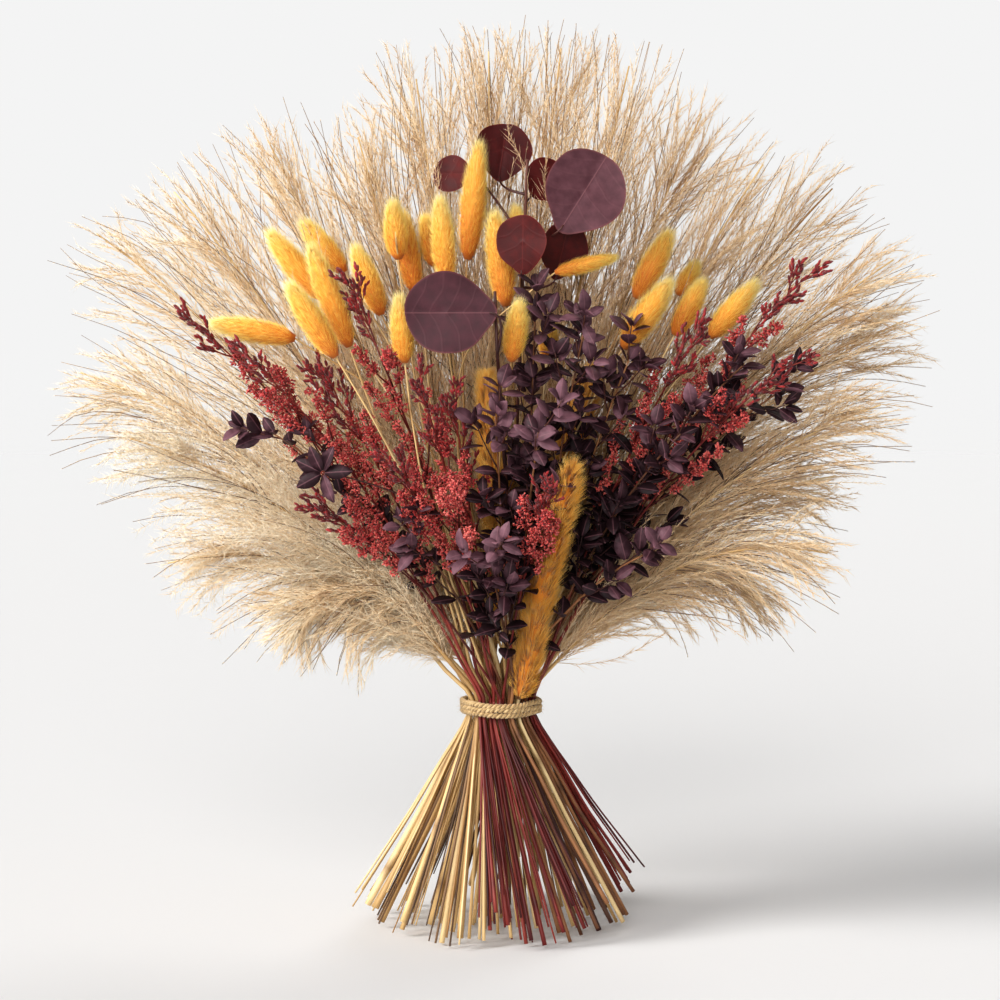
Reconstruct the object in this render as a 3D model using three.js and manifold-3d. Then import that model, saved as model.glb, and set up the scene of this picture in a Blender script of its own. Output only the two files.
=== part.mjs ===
// A sheaf of dried pampas grass, bunny tails, red sprays and plum foliage, tied at the waist with twine
// and standing on its cut ends. Millimetres, +Z up, X to the right, Y away from the front.
import * as THREE from 'three';
import { mergeVertices } from 'three/addons/utils/BufferGeometryUtils.js';
import Module from 'manifold-3d';

const wasm = await Module();
wasm.setup();

// ---------------------------------------------------------------- driving dimensions

const TIE_HEIGHT = 143; // middle of the twine above the cut ends
const TIE_GRIP = 7; // the stems stay upright this far below and above the twine's middle
const STEM_GAP = 0.55; // clear space between two stems
const TWINE_THICKNESS = 3.3;
const TWINE_TURNS = 3;
const TWINE_CLEARANCE = 0.35; // between the twine and the outermost stems

const FOOT_SPREAD = 3.6; // the cut ends' circle over the waist's circle
const FOOT_TWIST = THREE.MathUtils.degToRad(33); // how far the stems turn round below the waist
const HEAD_TWIST = THREE.MathUtils.degToRad(25); // and above it
const FOOT_JITTER = 4;
const FOOT_BACK = 22; // the feet's circle lies this far behind the waist's, under the plumes' weight
const FLAT_FOOT_RADIUS = 60; // ends inside this circle stand on the surface
const FOOT_RISE = 1.3; // the others are cut higher by this much per millimetre further out

// Heights above the waist at which neighbouring stems are kept apart, and depths below it.
const LEVELS_ABOVE = [26, 58, 98, 140, 184, 228, 272, 316, 356];
const LEVELS_BELOW = [-TIE_HEIGHT, -70];
const LEVELS = [...LEVELS_BELOW, -TIE_GRIP, TIE_GRIP, ...LEVELS_ABOVE].map((rise) => TIE_HEIGHT + rise);
const FIRST_ABOVE = LEVELS_BELOW.length + 2;

// Places above the waist are given as [across, rise, depth]: millimetres right of the waist and above it
// as they look from the front, and millimetres behind it. The front view is from here:
const VIEW_DISTANCE = 2400;
const VIEW_TILT = THREE.MathUtils.degToRad(6);
const VIEW_AIM = 127; // the middle of the view above the waist

// The stems' radii at the foot.
const STEM = {
  pampas: 2.4,
  bunnyTail: 1.3,
  ochre: 2,
  redSpray: 1.6,
  foliage: 1.7,
  silverDollar: 2,
  straw: 2,
};

// Where a head starts, as a share of its stem's way from the waist to the tip.
const HEAD_FROM = { pampas: 0.34, ochre: 0.36, redSpray: 0.45, foliage: 0.3, silverDollar: 0.4, straw: 0.9 };

// The radius of the dense middle of a head, which keeps clear of the others.
const HEAD_CORE = {
  pampas: (stem) => stem.wish.width * 0.17,
  bunnyTail: (stem) => stem.wish.width / 2,
  ochre: (stem) => stem.wish.width * 0.25,
  redSpray: () => 5,
  foliage: () => 2,
  silverDollar: () => 2,
  straw: () => 2,
};

// The width of a head along it, from 0 at its base to 1 at its tip.
const plumeSwell = (share) => Math.sin(Math.PI * share ** 0.7) ** 0.7;
const tailSwell = (share) => Math.sin(Math.PI * share ** 0.85) ** 0.5;
const spraySwell = (share) => Math.sin(Math.PI * share ** 0.6) ** 0.6;

// A head's rings of tufts and the corners of each ring, the share of its width that is core, and how far
// ahead its tufts point. A spray's head and its side branches have one width each.
const LOOK = {
  pampas: { rings: 12, sides: 6, core: 0.34, ahead: 15, swell: plumeSwell },
  ochre: { rings: 12, sides: 6, core: 0.45, ahead: 8, swell: plumeSwell },
  bunnyTail: { rings: 5, sides: 6, core: 0.8, ahead: 2, swell: tailSwell },
  redSpray: { rings: 8, sides: 4, core: 0.45, ahead: 4, swell: spraySwell, width: 15 },
  redBranch: { rings: 4, sides: 4, core: 0.45, ahead: 4, swell: spraySwell, width: 11 },
};
const TUFT_REACH = [0.85, 1.08]; // the least and the most of a tuft's reach over its head's width
const TUFT_TURN = 0.12; // radians between the tufts of one ring and the next
const TUFT_ROOM = 1.1; // clear space round a tuft
const TUFT_CLAIM = [3.6, 2.4, 0.8]; // the room that it takes up at its root, middle and tip
const TUFT_LEAST = 0.4; // a shorter one is left out
const CORE_LEAST = 0.6; // the core's least radius
const CORE_KEPT = 0.35; // and the least share of it that a neighbour leaves

const SPRAY_BRANCHES = [0.15, 0.45]; // where the side branches leave a spray
const SPRAY_BRANCH = { length: 34, lean: 0.6, room: 4, claim: 3.5 };

const LEAVES_PER_STEM = 5;
const LEAVES_ALONG = [0.1, 0.98]; // the first and the last leaf's place along the twig
const LEAF_LENGTHS = [20, 14]; // their lengths
const LEAF_WIDTH = 0.62; // over the length
const LEAF_THICKNESS = 1.8;
const LEAF_FOLD = 0.9; // how far the edges stand up from the rib
const LEAF_LEAN = 0.85;
const LEAF_ROOM = 2.8;
const LEAF_EDGE_ROOM = 2;
const LEAF_CLAIM = 0.26; // over the length
const TWIG_END = 0.8; // radius of a leafy twig's tip

// A round leaf's section, from its middle over the rim and back: share of the radius, height.
const ROUND_LEAF_SECTION = [[0, 0.7], [0.55, 0.7], [1, 0], [0.55, -0.7], [0, -0.7]];
const ROUND_LEAF_CORNERS = 11;
const ROUND_LEAF_CUP = 0.1; // over the radius
const ROUND_LEAF_ROOM = 2.6;
const PETIOLE = [1.1, 0.9]; // radii of a leaf's stalk at the twig and in the blade
const PETIOLE_REACH = 0.6; // how far from the blade's middle it ends, over the radius

const TWINE_LOBE = [-0.9, 0, 0.9]; // the corners of one turn's round outside, in radians
const TWINE_CORNERS = 22;
const TWINE_PITCH = 0.94; // between two turns, over the twine's thickness
const TWINE_EDGE = 0.8; // where the first and last turns' undersides meet the stems, over its radius

// The waist. Clumps of stems fill a circle, are pulled in at first, and push each other apart.
const CLUMP_RING = 0.86; // a clump's stems stand on a ring of this many stem radii
const SIDE_LEAN = 0.5; // how much a head's way to the side counts beside its way in depth
const WAIST_FILL = 0.82;
const WAIST_ROUNDS = 400;
const WAIST_PULL_SHARE = 0.7;
const WAIST_PULL = 0.012;
const WAIST_HOLD = 0.0015; // the weak pull that keeps them touching at last
const WAIST_PUSH = 0.4;

// The stems' ways up from it.
const ROUTE_STEPS = 48;
const STIFF_STEPS = 8; // of them in a stiff head
const NOD = 0.4; // how far below a stiff head its stem turns into line, over the stem's length
const ARCH = 0.45; // where an arching stem bends, over its way to the side
const SAG = 0.22; // and how much it rises above the straight line, over the same
const FOOT_CURVE = 0.2;

// How neighbours part.
const PART_GAP = 1;
const PART_ROUNDS = 80;
const PART_PUSH = 0.4;
const PART_WEIGHTS = [0.7, 1.3]; // across, in depth
const HEAD_POINTS = 16;
const HEAD_ROUNDS = 120;
const HEAD_PUSH = 0.35;
const HEAD_GAP = 5;
const HEAD_SEARCH = 70;
const STALK_FOOT_STEP = 4; // a stalk's least height between its foot and its next point
const STALK_HEAD_STEP = 6; // and between its last point and the head
const MOST_BENDS = 10;
const BEND = 2.2;
const BEND_REACH = 50;
const TOUCH = 0.002; // a smaller overlap, in cubic millimetres, is none
const FREE_STEPS = 8;
const BRANCH_TRIES = 7;
const SLIVER = 0.22; // edges shorter than this are taken out

// ---------------------------------------------------------------- what the sheaf holds

const PAMPAS = [
  { tip: [-260, 206, 56], width: 50 },
  { tip: [-250, 292, 90], width: 54 },
  { tip: [-202, 318, -5], width: 52 },
  { tip: [-144, 350, 85], width: 52 },
  { tip: [-88, 352, 12], width: 48 },
  { tip: [-52, 388, 100], width: 54 },
  { tip: [-7, 405, 30], width: 56 },
  { tip: [38, 407, 105], width: 52 },
  { tip: [80, 396, 0], width: 54 },
  { tip: [125, 366, 90], width: 54 },
  { tip: [163, 335, 14], width: 52 },
  { tip: [206, 320, 80], width: 54 },
  { tip: [244, 276, 6], width: 52 },
  { tip: [250, 238, 90], width: 50 },
  { tip: [236, 186, -48], width: 50 },
  { tip: [208, 142, 85], width: 46 },
  { tip: [203, 94, -70], width: 42, droop: 22 },
  { tip: [168, 60, 25], width: 38, droop: 60 },
  { tip: [-229, 165, -50], width: 60 },
  { tip: [-206, 88, 0], width: 46, droop: 26 },
  { tip: [-138, 42, -25], width: 38, droop: 60 },
  { tip: [-112, 245, 165], width: 58 },
  { tip: [-22, 275, 180], width: 60 },
  { tip: [78, 250, 170], width: 58 },
  { tip: [150, 165, 150], width: 56, droop: 10 },
  { tip: [-165, 140, 135], width: 56, droop: 10 },
];

// Bunny tails, in nodes of one to three stems that stand side by side.
const BUNNY_TAILS = [
  [{ tip: [-66, 309, -30], base: [-63, 276, -30], width: 19 }],
  [{ tip: [-60, 302, -12], base: [-54, 256, -14], width: 20 },
    { tip: [-46, 300, -12], base: [-41, 272, -12], width: 17 }],
  [{ tip: [-37, 311, -42], base: [-33, 262, -42], width: 20 }],
  [{ tip: [-13, 345, -18], base: [-20, 276, -20], width: 22 }],
  [{ tip: [-3, 301, -38], base: [4, 247, -40], width: 23 },
    { tip: [10, 306, -12], base: [12, 276, -14], width: 17 }],
  [{ tip: [9, 247, -72], base: [4, 213, -70], width: 19 }],
  [{ tip: [-63, 250, -66], base: [-60, 212, -66], width: 19 }],
  [{ tip: [70, 277, -66], base: [34, 268, -63], width: 13 },
    { tip: [31, 236, -40], base: [29, 214, -40], width: 15 }],
  [{ tip: [104, 290, -22], base: [84, 252, -24], width: 21 }],
  [{ tip: [104, 260, -58], base: [76, 221, -56], width: 23 }],
  [{ tip: [125, 260, -34], base: [108, 229, -36], width: 19 },
    { tip: [121, 272, -10], base: [110, 254, -12], width: 15 }],
  [{ tip: [157, 259, -46], base: [130, 228, -44], width: 20 }],
  [{ tip: [-176, 236, -52], base: [-127, 227, -48], width: 20 }],
  [{ tip: [-141, 290, -30], base: [-108, 252, -32], width: 22 }],
  [{ tip: [-120, 297, -14], base: [-96, 268, -16], width: 20 }],
  [{ tip: [-116, 281, -62], base: [-94, 222, -58], width: 22 }],
  [{ tip: [-128, 258, -78], base: [-101, 216, -74], width: 21 },
    { tip: [-89, 281, -28], base: [-76, 242, -30], width: 20 }],
];

const OCHRE = [
  { tip: [46, 147, -86], width: 26 },
  { tip: [-8, 203, -42], width: 24 },
  { tip: [58, 206, -12], width: 24 },
];

const RED_SPRAYS = [
  [[-190, 236, -70], [-157, 216, -84], [-114, 208, -74]],
  [[-92, 262, -74], [-50, 200, -96], [-30, 190, -84]],
  [[190, 266, -62], [180, 211, -84], [124, 232, -76]],
  [[30, 133, -100], [-66, 150, -104], [-112, 122, -84]],
];

const FOLIAGE = [
  [[22, 244, -66], [52, 232, -78], [80, 214, -64]],
  [[150, 210, -66], [176, 196, -56], [112, 168, -84]],
  [[-3, 180, -92], [24, 170, -98], [-8, 92, -100]],
  [[-140, 168, -70], [-60, 112, -88], [96, 96, -80]],
];

// Round leaves: each centre, its width, and the way its face looks.
const SILVER_DOLLAR = [
  {
    tip: [17, 338, -30],
    leaves: [
      { centre: [53, 319, -44], width: 51, faces: [0.1, -1, 0.25] },
      { centre: [14, 287, -62], width: 34, faces: [-0.5, -1, 0.1] },
      { centre: [39, 283, -42], width: 34, faces: [0.6, -1, 0] },
      { centre: [29, 326, -14], width: 28, faces: [-0.4, -1, -0.2] },
      { centre: [2, 344, 0], width: 36, faces: [0.2, -1, 0.5] },
      { centre: [-30, 329, 2], width: 24, faces: [-0.4, -1, 0.3] },
    ],
  },
  {
    tip: [0, 256, -84],
    leaves: [
      { centre: [-33, 243, -88], width: 51, faces: [-0.1, -1, 0.1] },
      { centre: [-114, 150, -96], width: 27, faces: [-0.3, -1, 0.2] },
    ],
  },
  {
    tip: [27, 240, 148],
    leaves: [
      { centre: [20, 196, 152], width: 42, faces: [0.2, 1, 0.2] },
      { centre: [30, 246, 172], width: 36, faces: [-0.3, 1, 0.2] },
    ],
  },
];

const STRAW_TOPS = [
  [[-28, 120, -60], [-20, 130, -48], [-36, 100, -40]],
  [[44, 90, 20], [60, 100, -10], [30, 80, 50]],
];

const COLOURS = {
  pampas: 0xd9c19a,
  bunnyTail: 0xf0b545,
  ochre: 0xd08a2c,
  redSpray: 0x9c2a35,
  foliage: 0x5a3446,
  silverDollar: 0x5b2f3c,
  straw: 0xcfae74,
  twine: 0xb99562,
};

// ---------------------------------------------------------------- small helpers

const vector = (x, y, z) => new THREE.Vector3(x, y, z);
const clamp = THREE.MathUtils.clamp;
const mix = THREE.MathUtils.lerp;

// The point at `depth` that the front view shows `across` and `rise` from the waist.
function seen([across, rise, depth]) {
  const sine = Math.sin(VIEW_TILT);
  const cosine = Math.cos(VIEW_TILT);
  const above = (high, back) =>
    (high + back * ((cosine * high) / VIEW_DISTANCE - sine)) / (cosine + (sine * high) / VIEW_DISTANCE);
  const up = above(rise - VIEW_AIM, depth);
  const scale = 1 + (depth * cosine - up * sine) / VIEW_DISTANCE;
  return vector(across * scale, depth, TIE_HEIGHT + up - above(-VIEW_AIM, 0));
}

// Even but unordered shares between 0 and 1 for the item numbers i and k.
function scatter(i, k) {
  const value = i * 0.61803 + k * 0.41421;
  return value - Math.floor(value);
}

let seed = 20;
function random(low, high) {
  seed = (seed * 16807) % 2147483647;
  return low + ((high - low) * seed) / 2147483647;
}

// ---------------------------------------------------------------- closed shapes

function solid(points, triangles) {
  const places = points.flatMap((point) => point.toArray());
  const loose = new THREE.BufferGeometry();
  loose.setAttribute('position', new THREE.Float32BufferAttribute(places, 3));
  loose.setIndex(triangles.flat());
  const merged = mergeVertices(loose, 1e-3);
  const corners = merged.index.array;
  const kept = [];
  for (let i = 0; i < corners.length; i += 3) {
    const [a, b, c] = corners.slice(i, i + 3);
    if (a !== b && b !== c && c !== a) kept.push(a, b, c);
  }
  const vertProperties = merged.attributes.position.array;
  return new wasm.Manifold(new wasm.Mesh({ numProp: 3, vertProperties, triVerts: Uint32Array.from(kept) }));
}

function join(pieces) {
  return pieces.reduce((whole, piece) => whole.add(piece));
}

function mesh(name, shape, kind) {
  const bodies = shape.simplify(SLIVER).decompose();
  const whole = bodies.reduce((best, body) => (body.volume() > best.volume() ? body : best));
  const { vertProperties, triVerts } = whole.getMesh();
  const geometry = new THREE.BufferGeometry();
  geometry.setAttribute('position', new THREE.BufferAttribute(vertProperties, 3));
  geometry.setIndex(new THREE.BufferAttribute(triVerts, 1));
  geometry.computeVertexNormals();
  const material = new THREE.MeshStandardMaterial({ color: COLOURS[kind], roughness: 0.85, metalness: 0 });
  const made = new THREE.Mesh(geometry, material);
  made.name = name;
  return made;
}

// A frame at each point of a path: forward along it, and two sides that don't spin round it.
function framesAlong(path) {
  let side = vector(1, 0, 0);
  return path.map((point, i) => {
    const before = path[Math.max(0, i - 1)];
    const after = path[Math.min(path.length - 1, i + 1)];
    const forward = after.clone().sub(before).normalize();
    side = side.clone().addScaledVector(forward, -side.dot(forward)).normalize();
    return { point, forward, side, other: forward.clone().cross(side) };
  });
}

// A ring of points round each point of a path, joined to its neighbours. place(frame, ring, corner, turn)
// gives a point, and a ring whose points coincide is a pointed end.
function sweep(path, sides, place) {
  const points = [];
  const triangles = [];
  framesAlong(path).forEach((frame, ring) => {
    for (let corner = 0; corner < sides; corner++) {
      const turn = (2 * Math.PI * corner) / sides;
      points.push(place(frame, ring, corner, turn));
    }
  });
  const last = (path.length - 1) * sides;
  for (let corner = 1; corner < sides - 1; corner++) {
    triangles.push([0, corner + 1, corner], [last, last + corner, last + corner + 1]);
  }
  for (let ring = 0; ring < path.length - 1; ring++) {
    for (let corner = 0; corner < sides; corner++) {
      const a = ring * sides + corner;
      const b = ring * sides + ((corner + 1) % sides);
      triangles.push([a, b, b + sides], [a, b + sides, a + sides]);
    }
  }
  return solid(points, triangles);
}

function around(frame, turn, radius, ahead = 0) {
  return frame.point
    .clone()
    .addScaledVector(frame.side, radius * Math.cos(turn))
    .addScaledVector(frame.other, radius * Math.sin(turn))
    .addScaledVector(frame.forward, ahead);
}

// A round rod that tapers from one radius to the other.
function rod(path, radius, endRadius, sides) {
  const last = path.length - 1;
  return sweep(path, sides, (frame, ring, corner, turn) =>
    around(frame, turn + Math.PI / sides, mix(radius, endRadius, ring / last)));
}

// ---------------------------------------------------------------- claimed space

// Each piece claims the space along its stem, head and leaves, as rods with round ends and as discs,
// and what grows later keeps clear of it.
const claims = [];

function claimRods(owner, path, radius) {
  for (let i = 0; i + 1 < path.length; i++) {
    const size = Array.isArray(radius) ? mix(radius[i], radius[i + 1], 0.5) : radius;
    claims.push({ owner, from: path[i], along: path[i + 1].clone().sub(path[i]), size });
  }
}

function claimDisc(owner, centre, normal, radius, size) {
  claims.push({ owner, centre, normal, radius, size });
}

const offset = new THREE.Vector3();
function gapTo(claim, point) {
  if (claim.centre) {
    offset.copy(point).sub(claim.centre);
    const height = offset.dot(claim.normal);
    const across = Math.sqrt(Math.max(0, offset.lengthSq() - height * height));
    return Math.hypot(height, Math.max(0, across - claim.radius)) - claim.size;
  }
  offset.copy(point).sub(claim.from);
  const share = clamp(offset.dot(claim.along) / Math.max(claim.along.lengthSq(), 1e-9), 0, 1);
  return offset.addScaledVector(claim.along, -share).length() - claim.size;
}

function clearance(owner, point) {
  let least = Infinity;
  for (const claim of claims) {
    if (claim.owner !== owner) least = Math.min(least, gapTo(claim, point));
  }
  return least;
}

// The share of the way from one point to another that keeps `room` free, more of it near the start.
function freeShare(owner, from, to, room, spread = 0) {
  let share = 0;
  for (let step = 1; step <= FREE_STEPS; step++) {
    const next = step / FREE_STEPS;
    if (clearance(owner, from.clone().lerp(to, next)) < room + spread * (1 - next)) return share;
    share = next;
  }
  return share;
}

// ---------------------------------------------------------------- stems through the waist

const stems = [];
const clumps = [];

// A clump is one node's stems, side by side at the waist. Each wish says where its head goes.
function addClump(owner, kind, wishes) {
  const radius = STEM[kind];
  const ring = wishes.length === 1 ? 0 : CLUMP_RING * radius;
  const members = wishes.map((wish) => {
    const tip = seen(wish.tip);
    const base = wish.base ? seen(wish.base) : null;
    return { owner, kind, radius, tip, base, wish, alone: wishes.length === 1 };
  });
  const middle = members.reduce((sum, stem) => sum.add(stem.tip), vector(0, 0, 0));
  middle.divideScalar(members.length);
  const heading = Math.atan2(middle.y, middle.x) + HEAD_TWIST;
  clumps.push({
    members, ring, heading,
    size: radius + ring,
    lean: Math.hypot(middle.x * SIDE_LEAN, middle.y),
    first: Math.atan2(members[0].tip.y - middle.y, members[0].tip.x - middle.x) + HEAD_TWIST,
  });
  stems.push(...members);
}

// The clumps start in order, the least leaning innermost, and push each other apart until none touch.
function packWaist() {
  const area = (clump) => (clump.size + STEM_GAP / 2) ** 2;
  const total = clumps.reduce((sum, clump) => sum + area(clump), 0);
  const reach = Math.sqrt(total / WAIST_FILL);
  let filled = 0;
  for (const clump of [...clumps].sort((a, b) => a.lean - b.lean)) {
    const out = reach * Math.sqrt((filled + area(clump) / 2) / total);
    filled += area(clump);
    clump.x = out * Math.cos(clump.heading);
    clump.y = out * Math.sin(clump.heading);
  }
  for (let round = 0; round < WAIST_ROUNDS; round++) {
    const pull = round < WAIST_ROUNDS * WAIST_PULL_SHARE ? WAIST_PULL : WAIST_HOLD;
    const moves = clumps.map((clump) => {
      let moveX = -pull * clump.x;
      let moveY = -pull * clump.y;
      for (const other of clumps) {
        const apartX = clump.x - other.x;
        const apartY = clump.y - other.y;
        const apart = Math.hypot(apartX, apartY);
        const short = clump.size + other.size + STEM_GAP - apart;
        if (other === clump || short <= 0) continue;
        moveX += (WAIST_PUSH * short * apartX) / apart;
        moveY += (WAIST_PUSH * short * apartY) / apart;
      }
      return [moveX, moveY];
    });
    clumps.forEach((clump, i) => {
      clump.x += moves[i][0];
      clump.y += moves[i][1];
    });
  }
  for (const clump of clumps) {
    clump.members.forEach((stem, i) => {
      const turn = clump.first + (2 * Math.PI * i) / clump.members.length;
      stem.waist = [clump.x + clump.ring * Math.cos(turn), clump.y + clump.ring * Math.sin(turn)];
      stem.facing = turn;
    });
  }
  clumps.filter((clump) => clump.members.length === 1).forEach(faceNeighbour);
}

// A single stem turns a corner of its section to the clump that it leans on.
function faceNeighbour(clump) {
  const room = (other) => Math.hypot(clump.x - other.x, clump.y - other.y) - clump.size - other.size;
  const others = clumps.filter((other) => other !== clump);
  const nearest = others.reduce((best, other) => (room(other) < room(best) ? other : best));
  clump.members[0].facing = Math.atan2(nearest.y - clump.y, nearest.x - clump.x);
}

// The foot's place: the waist's, spread and turned, with a little disorder.
function footOf(stem, number) {
  const [x, y] = stem.waist;
  const turn = FOOT_TWIST;
  const stray = (k) => FOOT_JITTER * (2 * scatter(number, k) - 1);
  return [
    FOOT_SPREAD * (x * Math.cos(turn) - y * Math.sin(turn)) + stray(1),
    FOOT_SPREAD * (x * Math.sin(turn) + y * Math.cos(turn)) + stray(2) + FOOT_BACK,
  ];
}

// The way from the waist to the tip, as ROUTE_STEPS + 1 points. A stem with a stiff head, which has a
// base of its own, arrives at it in line; another one arches over under its head's weight.
function routeOf(stem) {
  const start = vector(stem.waist[0], stem.waist[1], TIE_HEIGHT + TIE_GRIP);
  const { tip, base, wish } = stem;
  if (base) {
    const axis = tip.clone().sub(base).normalize();
    const bend = base.clone().addScaledVector(axis, -NOD * base.distanceTo(start));
    stem.headAt = ROUTE_STEPS - STIFF_STEPS;
    const route = new THREE.QuadraticBezierCurve3(start, bend, base).getPoints(stem.headAt);
    for (let i = 1; i <= STIFF_STEPS; i++) route.push(base.clone().lerp(tip, i / STIFF_STEPS));
    return route;
  }
  const way = tip.clone().sub(start);
  const level = Math.hypot(way.x, way.y);
  const rise = way.z / 2 + SAG * level + (wish.droop ?? 0);
  const bend = start.clone().add(vector(ARCH * way.x, ARCH * way.y, rise));
  stem.headAt = Math.round(ROUTE_STEPS * HEAD_FROM[stem.kind]);
  return new THREE.QuadraticBezierCurve3(start, bend, tip).getPoints(ROUTE_STEPS);
}

// Where a route first reaches a height.
function crossing(route, height) {
  const i = route.findIndex((point) => point.z >= height);
  if (i < 1) return null;
  const share = (height - route[i - 1].z) / (route[i].z - route[i - 1].z);
  return route[i - 1].clone().lerp(route[i], share);
}

function layRoutes() {
  stems.forEach((stem, number) => {
    const foot = footOf(stem, number);
    const [x, y] = stem.waist;
    stem.route = routeOf(stem);
    stem.marks = LEVELS.map((height, k) => {
      if (k >= FIRST_ABOVE) return crossing(stem.route, height);
      const down = clamp((TIE_HEIGHT - TIE_GRIP - height) / (TIE_HEIGHT - TIE_GRIP), 0, 1);
      const out = down * (1 - FOOT_CURVE + FOOT_CURVE * down);
      return vector(mix(x, foot[0], out), mix(y, foot[1], out), height);
    });
    const headBase = stem.route[stem.headAt].z;
    stem.thick = LEVELS.map((height) => (height > headBase ? HEAD_CORE[stem.kind](stem) : stem.radius));
    stem.laid = stem.marks.map((mark) => mark && mark.clone());
    stem.footRise = Math.max(0, FOOT_RISE * (Math.hypot(foot[0], foot[1] - FOOT_BACK) - FLAT_FOOT_RADIUS));
  });
}

// Neighbours that come too close between two levels push each other aside, more in depth than across.
function partStems() {
  for (let round = 0; round < PART_ROUNDS; round++) {
    const moves = stems.map(() => LEVELS.map(() => [0, 0]));
    for (let i = 0; i < stems.length; i++) {
      for (let j = i + 1; j < stems.length; j++) {
        if (stems[i].owner !== stems[j].owner) partPair(i, j, moves);
      }
    }
    stems.forEach((stem, i) => stem.marks.forEach((mark, k) => {
      if (!mark || k === FIRST_ABOVE - 1 || k === FIRST_ABOVE - 2) return;
      mark.x += moves[i][k][0];
      mark.y += moves[i][k][1];
    }));
  }
}

function partPair(i, j, moves) {
  const [one, two] = [stems[i], stems[j]];
  for (let k = 0; k + 1 < LEVELS.length; k++) {
    const [a, b, c, d] = [one.marks[k], one.marks[k + 1], two.marks[k], two.marks[k + 1]];
    if (!a || !b || !c || !d || k === FIRST_ABOVE - 2) continue;
    const [startX, startY] = [a.x - c.x, a.y - c.y];
    const [turnX, turnY] = [b.x - d.x - startX, b.y - d.y - startY];
    const share = clamp(-(startX * turnX + startY * turnY) / (turnX * turnX + turnY * turnY + 1e-9), 0, 1);
    const [x, y] = [startX + share * turnX, startY + share * turnY];
    const step = 2 * (LEVELS[k + 1] - LEVELS[k]);
    const [leanX, leanY] = [(b.x - a.x + d.x - c.x) / step, (b.y - a.y + d.y - c.y) / step];
    const level = Math.hypot(x, y) + 1e-6;
    const along = (x * leanX + y * leanY) ** 2 / (1 + leanX * leanX + leanY * leanY);
    const apart = Math.sqrt(Math.max(level * level - along, 0));
    const sizes = Math.max(one.thick[k], one.thick[k + 1]) + Math.max(two.thick[k], two.thick[k + 1]);
    const short = sizes + PART_GAP - apart;
    if (short <= 0) continue;
    const weights = k >= FIRST_ABOVE ? PART_WEIGHTS : [1, 1];
    const pushX = (PART_PUSH * short * weights[0] * x) / level;
    const pushY = (PART_PUSH * short * weights[1] * y) / level;
    for (const [who, sign] of [[i, 1], [j, -1]]) {
      moves[who][k][0] += sign * pushX * (1 - share);
      moves[who][k][1] += sign * pushY * (1 - share);
      moves[who][k + 1][0] += sign * pushX * share;
      moves[who][k + 1][1] += sign * pushY * share;
    }
  }
}

// A point of the route, moved as far as the stem was pushed aside at its height.
function settled(stem, point) {
  const shifts = stem.marks.flatMap((mark, k) =>
    (mark && k >= FIRST_ABOVE - 1 ? [{ height: LEVELS[k], shift: mark.clone().sub(stem.laid[k]) }] : []));
  const next = shifts.findIndex(({ height }) => height >= point.z);
  if (next === 0) return point.clone();
  if (next < 0) return point.clone().add(shifts[shifts.length - 1].shift);
  const [low, high] = [shifts[next - 1], shifts[next]];
  const share = (point.z - low.height) / (high.height - low.height);
  return point.clone().add(low.shift.clone().lerp(high.shift, share));
}

// Heads that come too close make room in depth, each part of a head by itself: the one whose tip lies
// further back moves back, and the other comes forward.
function partHeads() {
  const parts = stems.flatMap((stem) => stem.head.map((point, i) => {
    const share = i / (stem.head.length - 1);
    return { stem, point, size: HEAD_CORE[stem.kind](stem) * headSwell(stem, share) + HEAD_GAP / 2 };
  }));
  const near = [];
  parts.forEach((one, i) => parts.slice(i + 1).forEach((two) => {
    if (one.stem.owner === two.stem.owner || one.point.distanceTo(two.point) > HEAD_SEARCH) return;
    near.push(one.stem.tip.y > two.stem.tip.y ? [one, two] : [two, one]);
  }));
  for (let round = 0; round < HEAD_ROUNDS; round++) {
    parts.forEach((part) => { part.move = 0; });
    for (const [back, front] of near) {
      const short = Math.max(0, back.size + front.size - back.point.distanceTo(front.point));
      back.move += HEAD_PUSH * short;
      front.move -= HEAD_PUSH * short;
    }
    for (const stem of stems) {
      const own = parts.filter((part) => part.stem === stem);
      own.forEach((part, i) => {
        const before = own[Math.max(0, i - 1)].move;
        const after = own[Math.min(own.length - 1, i + 1)].move;
        part.step = (before + 2 * part.move + after) / 4;
      });
      own.forEach((part) => { part.point.y += part.step; });
    }
  }
}

function headSwell(stem, share) {
  return stem.kind === 'bunnyTail' ? tailSwell(share) : plumeSwell(share);
}

// The bare stalk from the cut end to the head.
function settleStem(stem) {
  const [ground, next] = stem.marks;
  const foot = ground.clone().lerp(next, stem.footRise / next.z);
  const top = stem.head[0].z;
  const free = (mark) => mark && mark.z > foot.z + STALK_FOOT_STEP && mark.z < top - STALK_HEAD_STEP;
  const between = stem.marks.slice(1).filter(free);
  stem.stalk = [foot, ...between, stem.head[0]];
}

// ---------------------------------------------------------------- heads and leaves

function pointAt(path, share) {
  const place = clamp(share, 0, 1) * (path.length - 1);
  const i = Math.min(Math.floor(place), path.length - 2);
  return path[i].clone().lerp(path[i + 1], place - i);
}

function resample(path, count) {
  return Array.from({ length: count }, (_, i) => pointAt(path, i / (count - 1)));
}

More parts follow.
